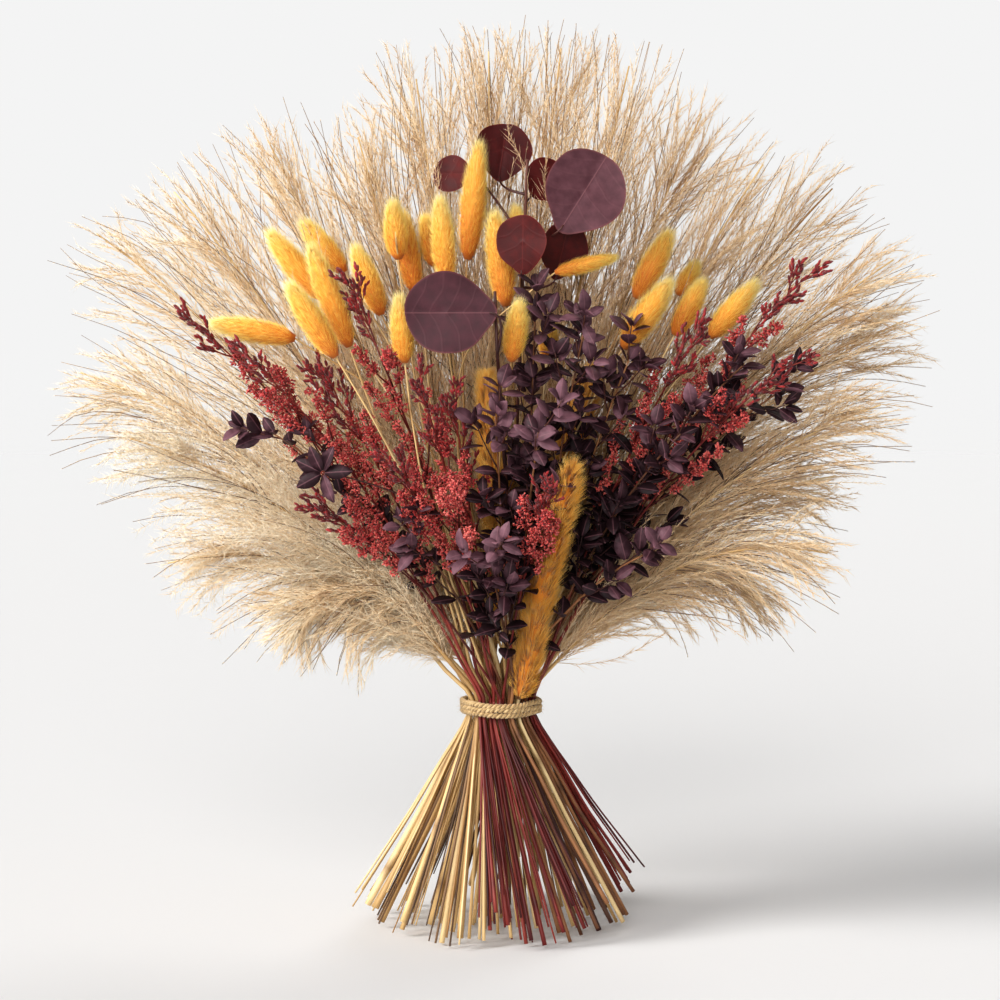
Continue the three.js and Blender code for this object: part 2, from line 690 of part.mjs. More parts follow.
// A head of tufts round a slimmer core, on the end of a stalk of its own if it has one. Every other corner
// of the swept surface is pulled out and ahead into a tuft, as far as its neighbours leave room.
function tufted(owner, head, width, { rings, sides, core, ahead, swell }, stalk = null) {
  const lower = stalk ? stalk.stalk : [head[0]];
  const line = [...lower, ...resample(head, rings + 2).slice(1)];
  const tips = [];
  const shape = sweep(line, sides, (frame, ring, corner, turn) => {
    const number = ring - lower.length + 1;
    if (stalk && number <= 0) return stalkCorner(stalk, frame, ring, turn, stalk.radius);
    const share = number / (rings + 1);
    if (share <= 0 || share >= 1) return frame.point.clone();
    const angle = turn + number * TUFT_TURN;
    const outer = (width / 2) * swell(share) * random(...TUFT_REACH);
    const inner = Math.max(CORE_LEAST, (width / 2) * swell(share) * core);
    const low = around(frame, angle, inner);
    const kept = Math.max(CORE_KEPT, freeShare(owner, frame.point, low, TUFT_ROOM));
    const place = frame.point.clone().lerp(low, kept);
    if ((number + corner) % 2 || outer < inner + TUFT_LEAST) return place;
    const tip = around(frame, angle, outer, ahead);
    place.lerp(tip, freeShare(owner, low, tip, TUFT_ROOM, inner / 2));
    tips.push([around(frame, angle, inner * 0.8), place.clone()]);
    return place;
  });
  for (const [from, to] of tips) {
    const middle = from.clone().lerp(to, 0.5);
    claimRods(owner, [from, middle, to], TUFT_CLAIM);
  }
  return shape;
}

// A corner of a stalk, which is cut level at its foot.
function stalkCorner(stem, frame, ring, turn, radius) {
  const point = around(frame, turn + stem.facing, radius);
  return ring === 0 ? point.setZ(frame.point.z) : point;
}

function stalkOf(stem, sides, path, endRadius) {
  const last = path.length - 1;
  return sweep(path, sides, (frame, ring, corner, turn) =>
    stalkCorner(stem, frame, ring, turn, mix(stem.radius, endRadius, ring / last)));
}

function plumeStem(stem) {
  return tufted(stem.owner, stem.head, stem.wish.width, LOOK[stem.kind], stem);
}

function bunnyTailStem(stem) {
  const head = tufted(stem.owner, stem.head, stem.wish.width, LOOK.bunnyTail);
  return stalkOf(stem, stem.alone ? 3 : 4, [...stem.stalk, stem.head[3]], stem.radius * 0.8).add(head);
}

// A direction that leaves a path at `share`, leaning `lean` away from it at the given turn.
function branchFrom(path, share, turn, lean) {
  const start = pointAt(path, share);
  const forward = pointAt(path, share + 0.05).sub(pointAt(path, share - 0.05)).normalize();
  const side = vector(1, 0, 0).addScaledVector(forward, -forward.x).normalize();
  const other = forward.clone().cross(side);
  const out = side.multiplyScalar(Math.cos(turn)).addScaledVector(other, Math.sin(turn));
  return { start, out: forward.multiplyScalar(Math.cos(lean)).addScaledVector(out, Math.sin(lean)) };
}

// The first of several turns round a path at which a branch of that length has room.
function roomyBranch(owner, path, share, { lean, length, room }) {
  for (let attempt = 0; attempt < BRANCH_TRIES; attempt++) {
    const { start, out } = branchFrom(path, share, random(0, 2 * Math.PI), lean);
    const end = start.clone().addScaledVector(out, length);
    if (freeShare(owner, start.clone().lerp(end, 0.3), end, room) > 0.9) return { start, out, end };
  }
  return null;
}

function redStem(stem) {
  const pieces = [tufted(stem.owner, stem.head, LOOK.redSpray.width, LOOK.redSpray, stem)];
  for (const share of SPRAY_BRANCHES) {
    const branch = roomyBranch(stem.owner, stem.head, share, SPRAY_BRANCH);
    if (!branch) continue;
    const line = [branch.start, branch.start.clone().lerp(branch.end, 0.5), branch.end];
    claimRods(stem.owner, line, SPRAY_BRANCH.claim);
    pieces.push(tufted(stem.owner, line, LOOK.redBranch.width, LOOK.redBranch));
  }
  return join(pieces);
}

// A pointed oval blade, thickest in the middle and folded a little along it.
function smallLeaf(start, out, up, length, width) {
  const side = out.clone().cross(up).normalize();
  const face = side.clone().cross(out).normalize();
  const at = (along, across, high) => start.clone()
    .addScaledVector(out, along * length)
    .addScaledVector(side, (across * width) / 2)
    .addScaledVector(face, high);
  const outline = [[0, 0], [0.28, -0.9], [0.66, -0.8], [1, 0], [0.66, 0.8], [0.28, 0.9]];
  const points = outline.map(([along, across]) => at(along, across, across ? LEAF_FOLD : 0));
  points.push(at(0.45, 0, LEAF_THICKNESS / 2), at(0.45, 0, -LEAF_THICKNESS / 2));
  const triangles = [];
  const [upper, lower] = [outline.length, outline.length + 1];
  for (let i = 0; i < outline.length; i++) {
    const next = (i + 1) % outline.length;
    triangles.push([upper, next, i], [lower, i, next]);
  }
  return solid(points, triangles);
}

function foliageStem(stem) {
  const twig = resample(stem.head, 4);
  const pieces = [stalkOf(stem, 4, [...stem.stalk, ...twig.slice(1)], TWIG_END)];
  for (let i = 0; i < LEAVES_PER_STEM; i++) {
    const share = mix(...LEAVES_ALONG, i / (LEAVES_PER_STEM - 1));
    const length = mix(...LEAF_LENGTHS, share);
    const branch = roomyBranch(stem.owner, twig, share, { lean: LEAF_LEAN, length, room: LEAF_ROOM });
    if (!branch) continue;
    const sky = vector(random(-0.4, 0.4), random(-0.9, 0.2), 1);
    const wide = branch.out.clone().cross(sky).normalize().multiplyScalar(length * 0.25);
    const middle = branch.start.clone().lerp(branch.end, 0.45);
    const clear = [wide, wide.clone().negate()].every((way) =>
      clearance(stem.owner, middle.clone().add(way)) > LEAF_EDGE_ROOM);
    if (!clear) continue;
    pieces.push(smallLeaf(branch.start, branch.out, sky, length, length * LEAF_WIDTH));
    claimRods(stem.owner, [branch.start.clone().lerp(branch.end, 0.3), branch.end], length * LEAF_CLAIM);
  }
  return join(pieces);
}

// A round blade on a short stalk, cupped a little, thin at the rim.
function roundLeaf(owner, path, { centre, width, faces }) {
  const middle = seen(centre);
  const face = vector(...faces).normalize();
  const nearest = path.reduce((best, p) => (p.distanceTo(middle) < best.distanceTo(middle) ? p : best));
  const root = nearest.clone().sub(middle);
  const out = root.clone().addScaledVector(face, -root.dot(face)).normalize();
  const side = face.clone().cross(out);
  const radius = width / 2;
  const points = [];
  for (const [reach, high] of ROUND_LEAF_SECTION) {
    for (let i = 0; i < ROUND_LEAF_CORNERS; i++) {
      const turn = (2 * Math.PI * i) / ROUND_LEAF_CORNERS;
      const cup = radius * ROUND_LEAF_CUP * reach ** 2 * Math.cos(2 * turn);
      points.push(middle.clone()
        .addScaledVector(out, radius * reach * Math.cos(turn))
        .addScaledVector(side, radius * reach * Math.sin(turn))
        .addScaledVector(face, high + cup));
    }
  }
  const triangles = [];
  for (let ring = 0; ring < ROUND_LEAF_SECTION.length - 1; ring++) {
    for (let i = 0; i < ROUND_LEAF_CORNERS; i++) {
      const a = ring * ROUND_LEAF_CORNERS + i;
      const b = ring * ROUND_LEAF_CORNERS + ((i + 1) % ROUND_LEAF_CORNERS);
      const [c, d] = [a + ROUND_LEAF_CORNERS, b + ROUND_LEAF_CORNERS];
      triangles.push([a, c, d], [a, d, b]);
    }
  }
  claimDisc(owner, middle, face, radius, ROUND_LEAF_ROOM);
  const inBlade = middle.clone().addScaledVector(out, radius * PETIOLE_REACH);
  const petiole = [nearest, inBlade];
  claimRods(owner, petiole, PETIOLE[0]);
  return solid(points, triangles).add(rod(petiole, ...PETIOLE, 3));
}

function silverDollarStem(stem) {
  const twig = resample(stem.head, 6);
  const fine = resample(twig, 60);
  const leaves = stem.wish.leaves.map((leaf) => roundLeaf(stem.owner, fine, leaf));
  return join([stalkOf(stem, 4, [...stem.stalk, ...twig.slice(1)], 1), ...leaves]);
}

function strawStem(stem) {
  return stalkOf(stem, 4, [...stem.stalk, stem.head[HEAD_POINTS - 1]], stem.radius);
}

// The wraps of twine, side by side round the waist.
function twine(inner) {
  const radius = TWINE_THICKNESS / 2;
  const pitch = TWINE_THICKNESS * TWINE_PITCH;
  const low = (-pitch * (TWINE_TURNS - 1)) / 2;
  const profile = [new THREE.Vector2(inner, low - radius * TWINE_EDGE)];
  for (let turn = 0; turn < TWINE_TURNS; turn++) {
    for (const angle of TWINE_LOBE) {
      const height = low + turn * pitch + radius * Math.sin(angle);
      profile.push(new THREE.Vector2(inner + radius * (1 + Math.cos(angle)), height));
    }
  }
  profile.push(new THREE.Vector2(inner, -low + radius * TWINE_EDGE), profile[0].clone());
  const ring = new THREE.LatheGeometry(profile, TWINE_CORNERS).rotateX(Math.PI / 2);
  ring.translate(0, 0, TIE_HEIGHT);
  ring.deleteAttribute('normal');
  ring.deleteAttribute('uv');
  const merged = mergeVertices(ring, 1e-3);
  const { position } = merged.attributes;
  const points = Array.from({ length: position.count }, (_, i) => vector().fromBufferAttribute(position, i));
  return solid(points, [...merged.index.array]);
}

// ---------------------------------------------------------------- the sheaf

function claimStem(stem) {
  const core = HEAD_CORE[stem.kind](stem);
  claimRods(stem.owner, stem.stalk, stem.radius);
  claimRods(stem.owner, stem.head, stem.head.map((_, i) => core * headSwell(stem, i / (HEAD_POINTS - 1))));
}

const grown = [];

// Grows a node's stems. Where they still run into an earlier node, they are bent away from it a little
// and grown again.
function grownClear(members, grow) {
  const { owner } = members[0];
  let shape = join(members.map(grow));
  for (let attempt = 0; attempt < MOST_BENDS; attempt++) {
    const hits = grown.map((other) => shape.intersect(other)).filter((hit) => hit.volume() > TOUCH);
    if (!hits.length) break;
    hits.forEach((hit) => bendAway(members, hit));
    claims.splice(0, claims.length, ...claims.filter((claim) => claim.owner !== owner));
    members.forEach(claimStem);
    shape = join(members.map(grow));
  }
  grown.push(shape);
  return shape;
}

function bendAway(members, hit) {
  const { min, max } = hit.boundingBox();
  const place = vector(...min).add(vector(...max)).divideScalar(2);
  const distance = (point) => point.distanceTo(place);
  const free = members.flatMap((stem) => [...stem.stalk.slice(1, -1), ...stem.head])
    .filter((point) => Math.abs(point.z - TIE_HEIGHT) > TIE_GRIP + 1);
  const nearest = free.reduce((best, point) => (distance(point) < distance(best) ? point : best));
  const aside = nearest.clone().sub(place).normalize().multiplyScalar(BEND);
  for (const point of free) {
    const share = Math.max(0, 1 - distance(point) / BEND_REACH);
    point.addScaledVector(aside, share);
  }
}

const pad = (number) => String(number).padStart(2, '0');
PAMPAS.forEach((wish, i) => addClump(`pampas_${pad(i + 1)}`, 'pampas', [wish]));
BUNNY_TAILS.forEach((wishes, i) => addClump(`bunny_tail_${pad(i + 1)}`, 'bunnyTail', wishes));
OCHRE.forEach((wish, i) => addClump(`ochre_plume_${i + 1}`, 'ochre', [wish]));
RED_SPRAYS.forEach((tips, i) => addClump(`red_spray_${i + 1}`, 'redSpray', tips.map((tip) => ({ tip }))));
FOLIAGE.forEach((tips, i) => addClump(`plum_foliage_${i + 1}`, 'foliage', tips.map((tip) => ({ tip }))));
SILVER_DOLLAR.forEach((wish, i) => addClump(`silver_dollar_${i + 1}`, 'silverDollar', [wish]));
STRAW_TOPS.forEach((tips, i) => addClump(`straw_${i + 1}`, 'straw', tips.map((tip) => ({ tip }))));

packWaist();
layRoutes();
partStems();
for (const stem of stems) {
  stem.head = resample(stem.route.slice(stem.headAt), HEAD_POINTS).map((point) => settled(stem, point));
}
partHeads();
stems.forEach(settleStem);

stems.forEach(claimStem);

const GROW = {
  bunnyTail: bunnyTailStem,
  silverDollar: silverDollarStem,
  redSpray: redStem,
  ochre: plumeStem,
  foliage: foliageStem,
  straw: strawStem,
  pampas: plumeStem,
};

const sheaf = new THREE.Group();
for (const [kind, grow] of Object.entries(GROW)) {
  for (const { members } of clumps.filter((clump) => clump.members[0].kind === kind)) {
    sheaf.add(mesh(members[0].owner, grownClear(members, grow), kind));
  }
}
const waistRadius = Math.max(...stems.map((stem) => Math.hypot(...stem.waist) + stem.radius));
sheaf.add(mesh('twine', twine(waistRadius + TWINE_CLEARANCE), 'twine'));

// The origin is the middle of the footprint, on the surface.
const middle = new THREE.Box3().setFromObject(sheaf).getCenter(vector(0, 0, 0));
sheaf.position.set(-middle.x, -middle.y, 0);
const bundle = new THREE.Group();
bundle.add(sheaf);

export default bundle;
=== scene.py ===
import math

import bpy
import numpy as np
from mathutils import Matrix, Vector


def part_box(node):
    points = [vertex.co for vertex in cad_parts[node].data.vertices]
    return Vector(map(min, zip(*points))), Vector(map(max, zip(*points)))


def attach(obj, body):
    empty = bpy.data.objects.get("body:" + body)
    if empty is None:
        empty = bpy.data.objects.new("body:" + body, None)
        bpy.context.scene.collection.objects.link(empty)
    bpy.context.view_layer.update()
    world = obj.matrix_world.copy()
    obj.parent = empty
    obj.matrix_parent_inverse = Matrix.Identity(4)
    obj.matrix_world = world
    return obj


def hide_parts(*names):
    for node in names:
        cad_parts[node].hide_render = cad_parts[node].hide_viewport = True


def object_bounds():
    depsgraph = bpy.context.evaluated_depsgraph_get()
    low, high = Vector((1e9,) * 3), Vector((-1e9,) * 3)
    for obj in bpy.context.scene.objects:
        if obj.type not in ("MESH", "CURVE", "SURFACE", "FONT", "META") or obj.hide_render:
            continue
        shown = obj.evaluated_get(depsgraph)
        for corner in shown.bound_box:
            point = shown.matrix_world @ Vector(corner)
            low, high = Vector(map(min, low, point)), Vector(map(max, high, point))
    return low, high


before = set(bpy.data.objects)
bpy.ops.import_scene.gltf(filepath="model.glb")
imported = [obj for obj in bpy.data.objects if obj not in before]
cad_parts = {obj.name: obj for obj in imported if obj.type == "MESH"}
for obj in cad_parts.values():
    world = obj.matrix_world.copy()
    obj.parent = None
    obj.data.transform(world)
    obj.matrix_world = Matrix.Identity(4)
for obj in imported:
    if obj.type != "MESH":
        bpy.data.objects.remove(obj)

# A tied sheaf of dried pampas grass, bunny tails, ochre plumes, red sprays and plum leaves.
#
# The stems are laid out in millimetres round the twine's axis by the same rule as the frame's solids, and
# each node of the frame gets one dressed piece that stands where the node stands.

CAD_BOX = [list(corner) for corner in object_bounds()]

# ---------------------------------------------------------------- sizes, in millimetres

MM = 0.001
TIE_HEIGHT = 143.0
TIE_GRIP = 7.0
STEM_GAP = 0.55
TWINE_THICKNESS = 3.3
TWINE_TURNS = 3
TWINE_PITCH = 0.86

FOOT_SPREAD = 3.6
FOOT_TWIST = math.radians(33)
HEAD_TWIST = math.radians(25)
FOOT_JITTER = 4.0
FOOT_STRAYS = (0.61803, 0.41421)
FOOT_BACK = 22.0
FLAT_FOOT_RADIUS = 60.0
FOOT_RISE = 1.3
FOOT_CURVE = 0.2
FLARE = 0.32
STRAIGHT_CURVE = 0.05
CUT_RISE = 5.0

LEVELS = TIE_HEIGHT + np.array([-143, -70, -7, 7, 26, 58, 98, 140, 184, 228, 272, 316, 356], float)
FIRST_ABOVE = 4

VIEW_DISTANCE = 2400.0
VIEW_TILT = math.radians(6)
VIEW_AIM = 127.0
VIEW_LENS = 139.4
SENSOR = 36.0
FLOOR_RADIUS = 5.0
FLOOR_SOLID = 0.7
FLOOR_GONE = 0.96
FLOOR_DROP = 0.0002
SURROUND = 0.76
OVERHEAD = 0.15
SURROUND_TOP = 0.1
OVERHEAD_FROM = 0.35

# What is left of each stretch, across, in depth and in height, that hair and leaves stray past the frame.
STRAY_KEPT = np.array([0.8, 0.4, 0.75])

STEM_RADIUS = {
    "pampas": 2.4,
    "bunny_tail": 1.3,
    "ochre_plume": 2.0,
    "red_spray": 1.6,
    "plum_foliage": 1.7,
    "silver_dollar": 2.0,
    "straw": 2.0,
}
HEAD_FROM = {
    "pampas": 0.34,
    "ochre_plume": 0.36,
    "red_spray": 0.45,
    "plum_foliage": 0.3,
    "silver_dollar": 0.4,
    "straw": 0.9,
}
# The radius of a head's dense middle: a share of its width, or millimetres.
CORE_SHARE = {"pampas": 0.17, "bunny_tail": 0.5, "ochre_plume": 0.25}
CORE_RADIUS = {"red_spray": 5.0, "plum_foliage": 2.0, "silver_dollar": 2.0, "straw": 2.0}

CLUMP_RING = 0.86
SIDE_LEAN = 0.5
WAIST_FILL = 0.82
WAIST_ROUNDS = 400
WAIST_PULL_SHARE = 0.7
WAIST_PULL = 0.012
WAIST_HOLD = 0.0015
WAIST_PUSH = 0.4
ROUTE_STEPS = 48
STIFF_STEPS = 8
NOD = 0.4
ARCH = 0.45
SAG = 0.22
PART_GAP = 1.0
PART_ROUNDS = 80
PART_PUSH = 0.4
PART_WEIGHTS = np.array([0.7, 1.3])
HEAD_POINTS = 16
HEAD_ROUNDS = 120
HEAD_PUSH = 0.35
HEAD_GAP = 5.0
HEAD_SEARCH = 70.0
STALK_FOOT_STEP = 4.0
STALK_HEAD_STEP = 6.0
STALK_STEP = 9.0
STALK_SLIM = 0.85
JOINT_REACH = 2.6
JOINT_SWELL = 0.22
HEAD_STEP = 6.0
GOLDEN_TURN = 2.39996

# A plume's width along it, as places with shares of its full width, and what each style is made of.
PLUME_FROM = 20.0
PLUME_STEP = 5.0
PLUME_DEPTH = 0.6
PLUME_PLACES = [0, 0.12, 0.3, 0.55, 0.75, 0.9, 1, 1.1]
PLUME_REACH = [0.25, 0.45, 0.78, 1, 1.1, 0.95, 0.55, 0.25]
PLUME_STYLES = {
    "fine": dict(strands=178, barbs=30, barb=20.0, lean=0.36, thick=0.4, ears=22, wisps=24, wide=2.7),
    "cotton": dict(strands=150, barbs=56, barb=16.0, lean=0.8, thick=0.32, ears=6, wisps=12, wide=2.0),
    "barbed": dict(strands=150, barbs=30, barb=14.0, lean=0.4, thick=0.36, ears=20, wisps=18, wide=2.1),
    "feather": dict(strands=140, barbs=40, barb=15.0, lean=0.48, thick=0.34, ears=20, wisps=10, wide=1.8),
}
STRAND_SWAY = 0.05
STRAND_DROOP = 0.2
STRAND_FLARE = 0.85
PLUME_OF = {11: "feather", **dict.fromkeys(range(15, 19), "barbed"), 19: "cotton", 20: "cotton"}
# Each plume's tone, paler the higher it is. The plumes on the left are paler partly by their own cream
# colour and partly as painted light from the left.
PLUME_TONE_AND_LIGHT = {1: 0.72, 2: 0.7, 3: 0.62, 4: 0.55, 5: 0.48, 17: 0.5, 18: 0.5, 19: 0.9, 20: 0.76, 21: 0.66}

# HEART and ROOTS are shares of the half width, at which the core ends and the hairs are rooted.
FEATHER_PLACES = [0, 0.12, 0.4, 0.7, 0.9, 1]
FEATHER_SWELL = [0.25, 0.68, 1, 0.9, 0.5, 0.12]
FEATHER_HEART = 0.6
FEATHER_ROOTS = 0.56
FEATHER_LOCKS = 420
LOCK_HAIRS = 20
OCHRE_FROM = [5.0, 40.0, 40.0]

TAIL_HEART = 0.62
TAIL_ROOTS = 0.56
TAIL_HAIRS = 3000
TAIL_TONE = [0, -0.25, 0.1, 0, -0.05, 0, 0.1, -0.1, -0.12, 0.05, -0.1, 0.1, 0.05, 0, 0, 0.05, 0]

SPRAY_BRANCHES = 13
SPRAY_TWIGS = 7
SPRAY_TURN = 0.66
FLORET = 2.2

# Each foliage node's twigs on a stem, the gap between its leaves, and its tone.
LEAFINESS = [(12, 13.0, 0.22), (8, 14.0, 0.05), (7, 16.0, 0.3), (4, 26.0, 0.15)]
BLADE_ROWS = 6
BLADE_SKIN = 0.16
LEAF_CLIMB = 0.8

TWINE_CORNERS = 360
TWINE_TWISTS = 27
PLY_OUT = 0.27
PLY_RADIUS = 0.29
BAND_COSINE = 0.2
TWINE_FUZZ = 260

# ---------------------------------------------------------------- what the sheaf holds
# Places are across, rise and depth: millimetres right of the waist and above it as they look from the
# front, and millimetres behind it.

# Each plume's tip and width, and how much higher a drooping one's stem arches.
PAMPAS = [
    (-260, 206, 56, 50), (-250, 292, 90, 54), (-202, 318, -5, 52), (-144, 350, 85, 52),
    (-88, 352, 12, 48), (-52, 388, 100, 54), (-7, 405, 30, 56), (38, 407, 105, 52),
    (80, 396, 0, 54), (125, 366, 90, 54), (163, 335, 14, 52), (206, 320, 80, 54),
    (244, 276, 6, 52), (250, 238, 90, 50), (236, 186, -48, 50), (208, 142, 85, 46),
    (203, 94, -70, 42, 22), (168, 60, 25, 38, 60), (-229, 165, -50, 60), (-206, 88, 0, 46, 26),
    (-138, 42, -25, 38, 60), (-112, 245, 165, 58), (-22, 275, 180, 60), (78, 250, 170, 58),
    (150, 165, 150, 56, 10), (-165, 140, 135, 56, 10),
]
OCHRE = [(46, 147, -86, 26), (-8, 203, -42, 24), (58, 206, -12, 24)]

# Each bunny tail's tip, base and width, in nodes of one or two tails that stand side by side.
BUNNY_TAILS = [
    [(-66, 309, -30, -63, 276, -30, 19)],
    [(-60, 302, -12, -54, 256, -14, 20), (-46, 300, -12, -41, 272, -12, 17)],
    [(-37, 311, -42, -33, 262, -42, 20)],
    [(-13, 345, -18, -20, 276, -20, 22)],
    [(-3, 301, -38, 4, 247, -40, 23), (10, 306, -12, 12, 276, -14, 17)],
    [(9, 247, -72, 4, 213, -70, 19)],
    [(-63, 250, -66, -60, 212, -66, 19)],
    [(70, 277, -66, 34, 268, -63, 13), (31, 236, -40, 29, 214, -40, 15)],
    [(104, 290, -22, 84, 252, -24, 21)],
    [(104, 260, -58, 76, 221, -56, 23)],
    [(125, 260, -34, 108, 229, -36, 19), (121, 272, -10, 110, 254, -12, 15)],
    [(157, 259, -46, 130, 228, -44, 20)],
    [(-176, 236, -52, -127, 227, -48, 20)],
    [(-141, 290, -30, -108, 252, -32, 22)],
    [(-120, 297, -14, -96, 268, -16, 20)],
    [(-116, 281, -62, -94, 222, -58, 22)],
    [(-128, 258, -78, -101, 216, -74, 21), (-89, 281, -28, -76, 242, -30, 20)],
]

# The tips of each node's stems.
RED_SPRAYS = [
    [(-190, 236, -70), (-157, 216, -84), (-114, 208, -74)],
    [(-92, 262, -74), (-50, 200, -96), (-30, 190, -84)],
    [(190, 266, -62), (180, 211, -84), (124, 232, -76)],
    [(30, 133, -100), (-66, 150, -104), (-112, 122, -84)],
]
FOLIAGE = [
    [(22, 244, -66), (52, 232, -78), (80, 214, -64)],
    [(150, 210, -66), (176, 196, -56), (112, 168, -84)],
    [(-3, 180, -92), (24, 170, -98), (-8, 92, -100)],
    [(-140, 168, -70), (-60, 112, -88), (96, 96, -80)],
]
STRAW_TOPS = [
    [(-28, 120, -60), (-20, 130, -48), (-36, 100, -40)],
    [(44, 90, 20), (60, 100, -10), (30, 80, 50)],
]

# Each silver-dollar stem's tip and its leaves: the middle, the width, the way the face looks, the way to
# the point where the stalk joins, and the finish. What has no face is a cluster of young leaves.
SILVER_DOLLAR = [
    ((17, 338, -30), [
        ((53, 319, -44), 51, (0.1, -1, 0.25), (-0.5, 0, -0.8), "round"),
        ((14, 287, -62), 34, (-0.5, -1, 0.1), (0, 0, -1), "maroon"),
        ((39, 283, -42), 34, (0.6, -1, 0), (-0.3, 0, -1), "maroon"),
        ((29, 326, -14), 28, (-0.4, -1, -0.2), (-0.7, 0, -0.7), "maroon"),
        ((2, 344, 0), 36, (0.2, -1, 0.5), (-0.2, 0, -1), "maroon"),
        ((-30, 329, 2), 24, (-0.4, -1, 0.3), (1, 0, -0.1), "maroon"),
    ]),
    ((0, 256, -84), [
        ((-33, 243, -88), 51, (-0.1, -1, 0.1), (1, 0, 0), "round"),
        ((-114, 150, -96), 27),
    ]),
    ((27, 240, 148), [
        ((20, 196, 152), 42, (0.2, 1, 0.2), (-0.2, 0, -1), "round"),
        ((30, 246, 172), 36, (-0.3, 1, 0.2), (0.3, 0, -1), "round"),
    ]),
]


# ---------------------------------------------------------------- the layout of the stems

def seen(place):
    """The point at a depth that the front view shows across and above the waist.

    The line of sight through the point of the waist's plane is followed back to that depth."""
    across, rise, depth = place
    sine, cosine = math.sin(VIEW_TILT), math.cos(VIEW_TILT)

    def above(high, back):
        lifted = high + back * (cosine * high / VIEW_DISTANCE - sine)
        return lifted / (cosine + sine * high / VIEW_DISTANCE)

    up = above(rise - VIEW_AIM, depth)
    scale = 1 + (depth * cosine - up * sine) / VIEW_DISTANCE
    return np.array([across * scale, depth, TIE_HEIGHT + up - above(-VIEW_AIM, 0)])


def length_of(vectors):
    """Length of each vector along the last axis."""
    return np.sqrt((vectors ** 2).sum(axis=-1))


def unit(vectors):
    """Each vector over its length."""
    return vectors / np.maximum(length_of(vectors), 1e-9)[..., None]


def swell_of(kind, share):
    """Width along a head from its base at 0 to its tip at 1: a sine arch that peaks below the middle."""
    skew, blunt = (0.85, 0.5) if kind == "bunny_tail" else (0.7, 0.7)
    return np.maximum(np.sin(math.pi * share ** skew), 0) ** blunt


class Stem:
    """One stem of a node, from its cut foot through the waist to the tip of its head."""

    def __init__(self, node, kind, tip, base=None, width=0, droop=0, leaves=()):
        self.node = node
        self.kind = kind
        self.radius = STEM_RADIUS[kind]
        self.width = width
        self.droop = droop
        self.leaves = leaves
        self.tip = seen(tip)
        self.base = seen(base) if base else None
        self.core = CORE_SHARE[kind] * width if kind in CORE_SHARE else CORE_RADIUS[kind]


class Clump:
    """One node's stems, side by side at the waist."""

    def __init__(self, node, kind, wishes):
        self.node = node
        self.stems = [Stem(node, kind, **wish) for wish in wishes]
        self.ring = 0 if len(wishes) == 1 else CLUMP_RING * STEM_RADIUS[kind]
        self.size = STEM_RADIUS[kind] + self.ring
        middle = np.mean([stem.tip for stem in self.stems], axis=0)
        away = self.stems[0].tip - middle
        self.heading = math.atan2(middle[1], middle[0]) + HEAD_TWIST
        self.first = math.atan2(away[1], away[0]) + HEAD_TWIST
        self.lean = math.hypot(middle[0] * SIDE_LEAN, middle[1])


def all_clumps():
    """The nodes' clumps, in the order in which they share the waist."""
    def plumes(rows):
        return [[dict(tip=row[:3], width=row[3], droop=sum(row[4:]))] for row in rows]

    def tips(nodes):
        return [[dict(tip=tip) for tip in node] for node in nodes]

    def tails(nodes):
        return [[dict(tip=row[:3], base=row[3:6], width=row[6]) for row in node] for node in nodes]

    groups = {
        "pampas": plumes(PAMPAS),
        "bunny_tail": tails(BUNNY_TAILS),
        "ochre_plume": plumes(OCHRE),
        "red_spray": tips(RED_SPRAYS),
        "plum_foliage": tips(FOLIAGE),
        "silver_dollar": [[dict(tip=tip, leaves=leaves)] for tip, leaves in SILVER_DOLLAR],
        "straw": tips(STRAW_TOPS),
    }
    return [
        Clump(f"{kind}_{number + 1:0{len(str(len(nodes)))}d}", kind, wishes)
        for kind, nodes in groups.items()
        for number, wishes in enumerate(nodes)
    ]


def pack_waist(clumps):
    """Circles that start as a spiral, least leaning innermost, push each other apart until none touch."""
    size = np.array([clump.size for clump in clumps])
    heading = np.array([clump.heading for clump in clumps])
    order = np.argsort([clump.lean for clump in clumps], kind="stable")
    area = (size + STEM_GAP / 2) ** 2
    filled = np.empty(len(clumps))
    filled[order] = np.cumsum(area[order]) - area[order] / 2
    out = np.sqrt(filled / WAIST_FILL)
    place = out[:, None] * np.stack([np.cos(heading), np.sin(heading)], axis=1)
    for step in range(WAIST_ROUNDS):
        pull = WAIST_PULL if step < WAIST_ROUNDS * WAIST_PULL_SHARE else WAIST_HOLD
        apart = place[:, None] - place[None]
        gap = length_of(apart) + np.eye(len(clumps)) * 1e6
        short = np.maximum(size[:, None] + size[None] + STEM_GAP - gap, 0)
        place = place - pull * place + (WAIST_PUSH * (short / gap)[..., None] * apart).sum(axis=1)
    for clump, (x, y) in zip(clumps, place):
        for i, stem in enumerate(clump.stems):
            turn = clump.first + 2 * math.pi * i / len(clump.stems)
            stem.waist = np.array([x + clump.ring * math.cos(turn), y + clump.ring * math.sin(turn)])


def foot_of(stem, number):
    """The waist's place, spread and turned, with a little disorder, behind the waist."""
    sine, cosine = math.sin(FOOT_TWIST), math.cos(FOOT_TWIST)
    stray = [2 * ((number * FOOT_STRAYS[0] + k * FOOT_STRAYS[1]) % 1) - 1 for k in (1, 2)]
    turned = FOOT_SPREAD * np.array([[cosine, -sine], [sine, cosine]]) @ stem.waist
    return turned + FOOT_JITTER * np.array(stray) + [0, FOOT_BACK]


def bezier(start, bend, end, steps):
    """Quadratic curve from start to end that sets out towards bend, as steps + 1 points."""
    t = np.linspace(0, 1, steps + 1)[:, None]
    return (1 - t) ** 2 * start + 2 * (1 - t) * t * bend + t ** 2 * end


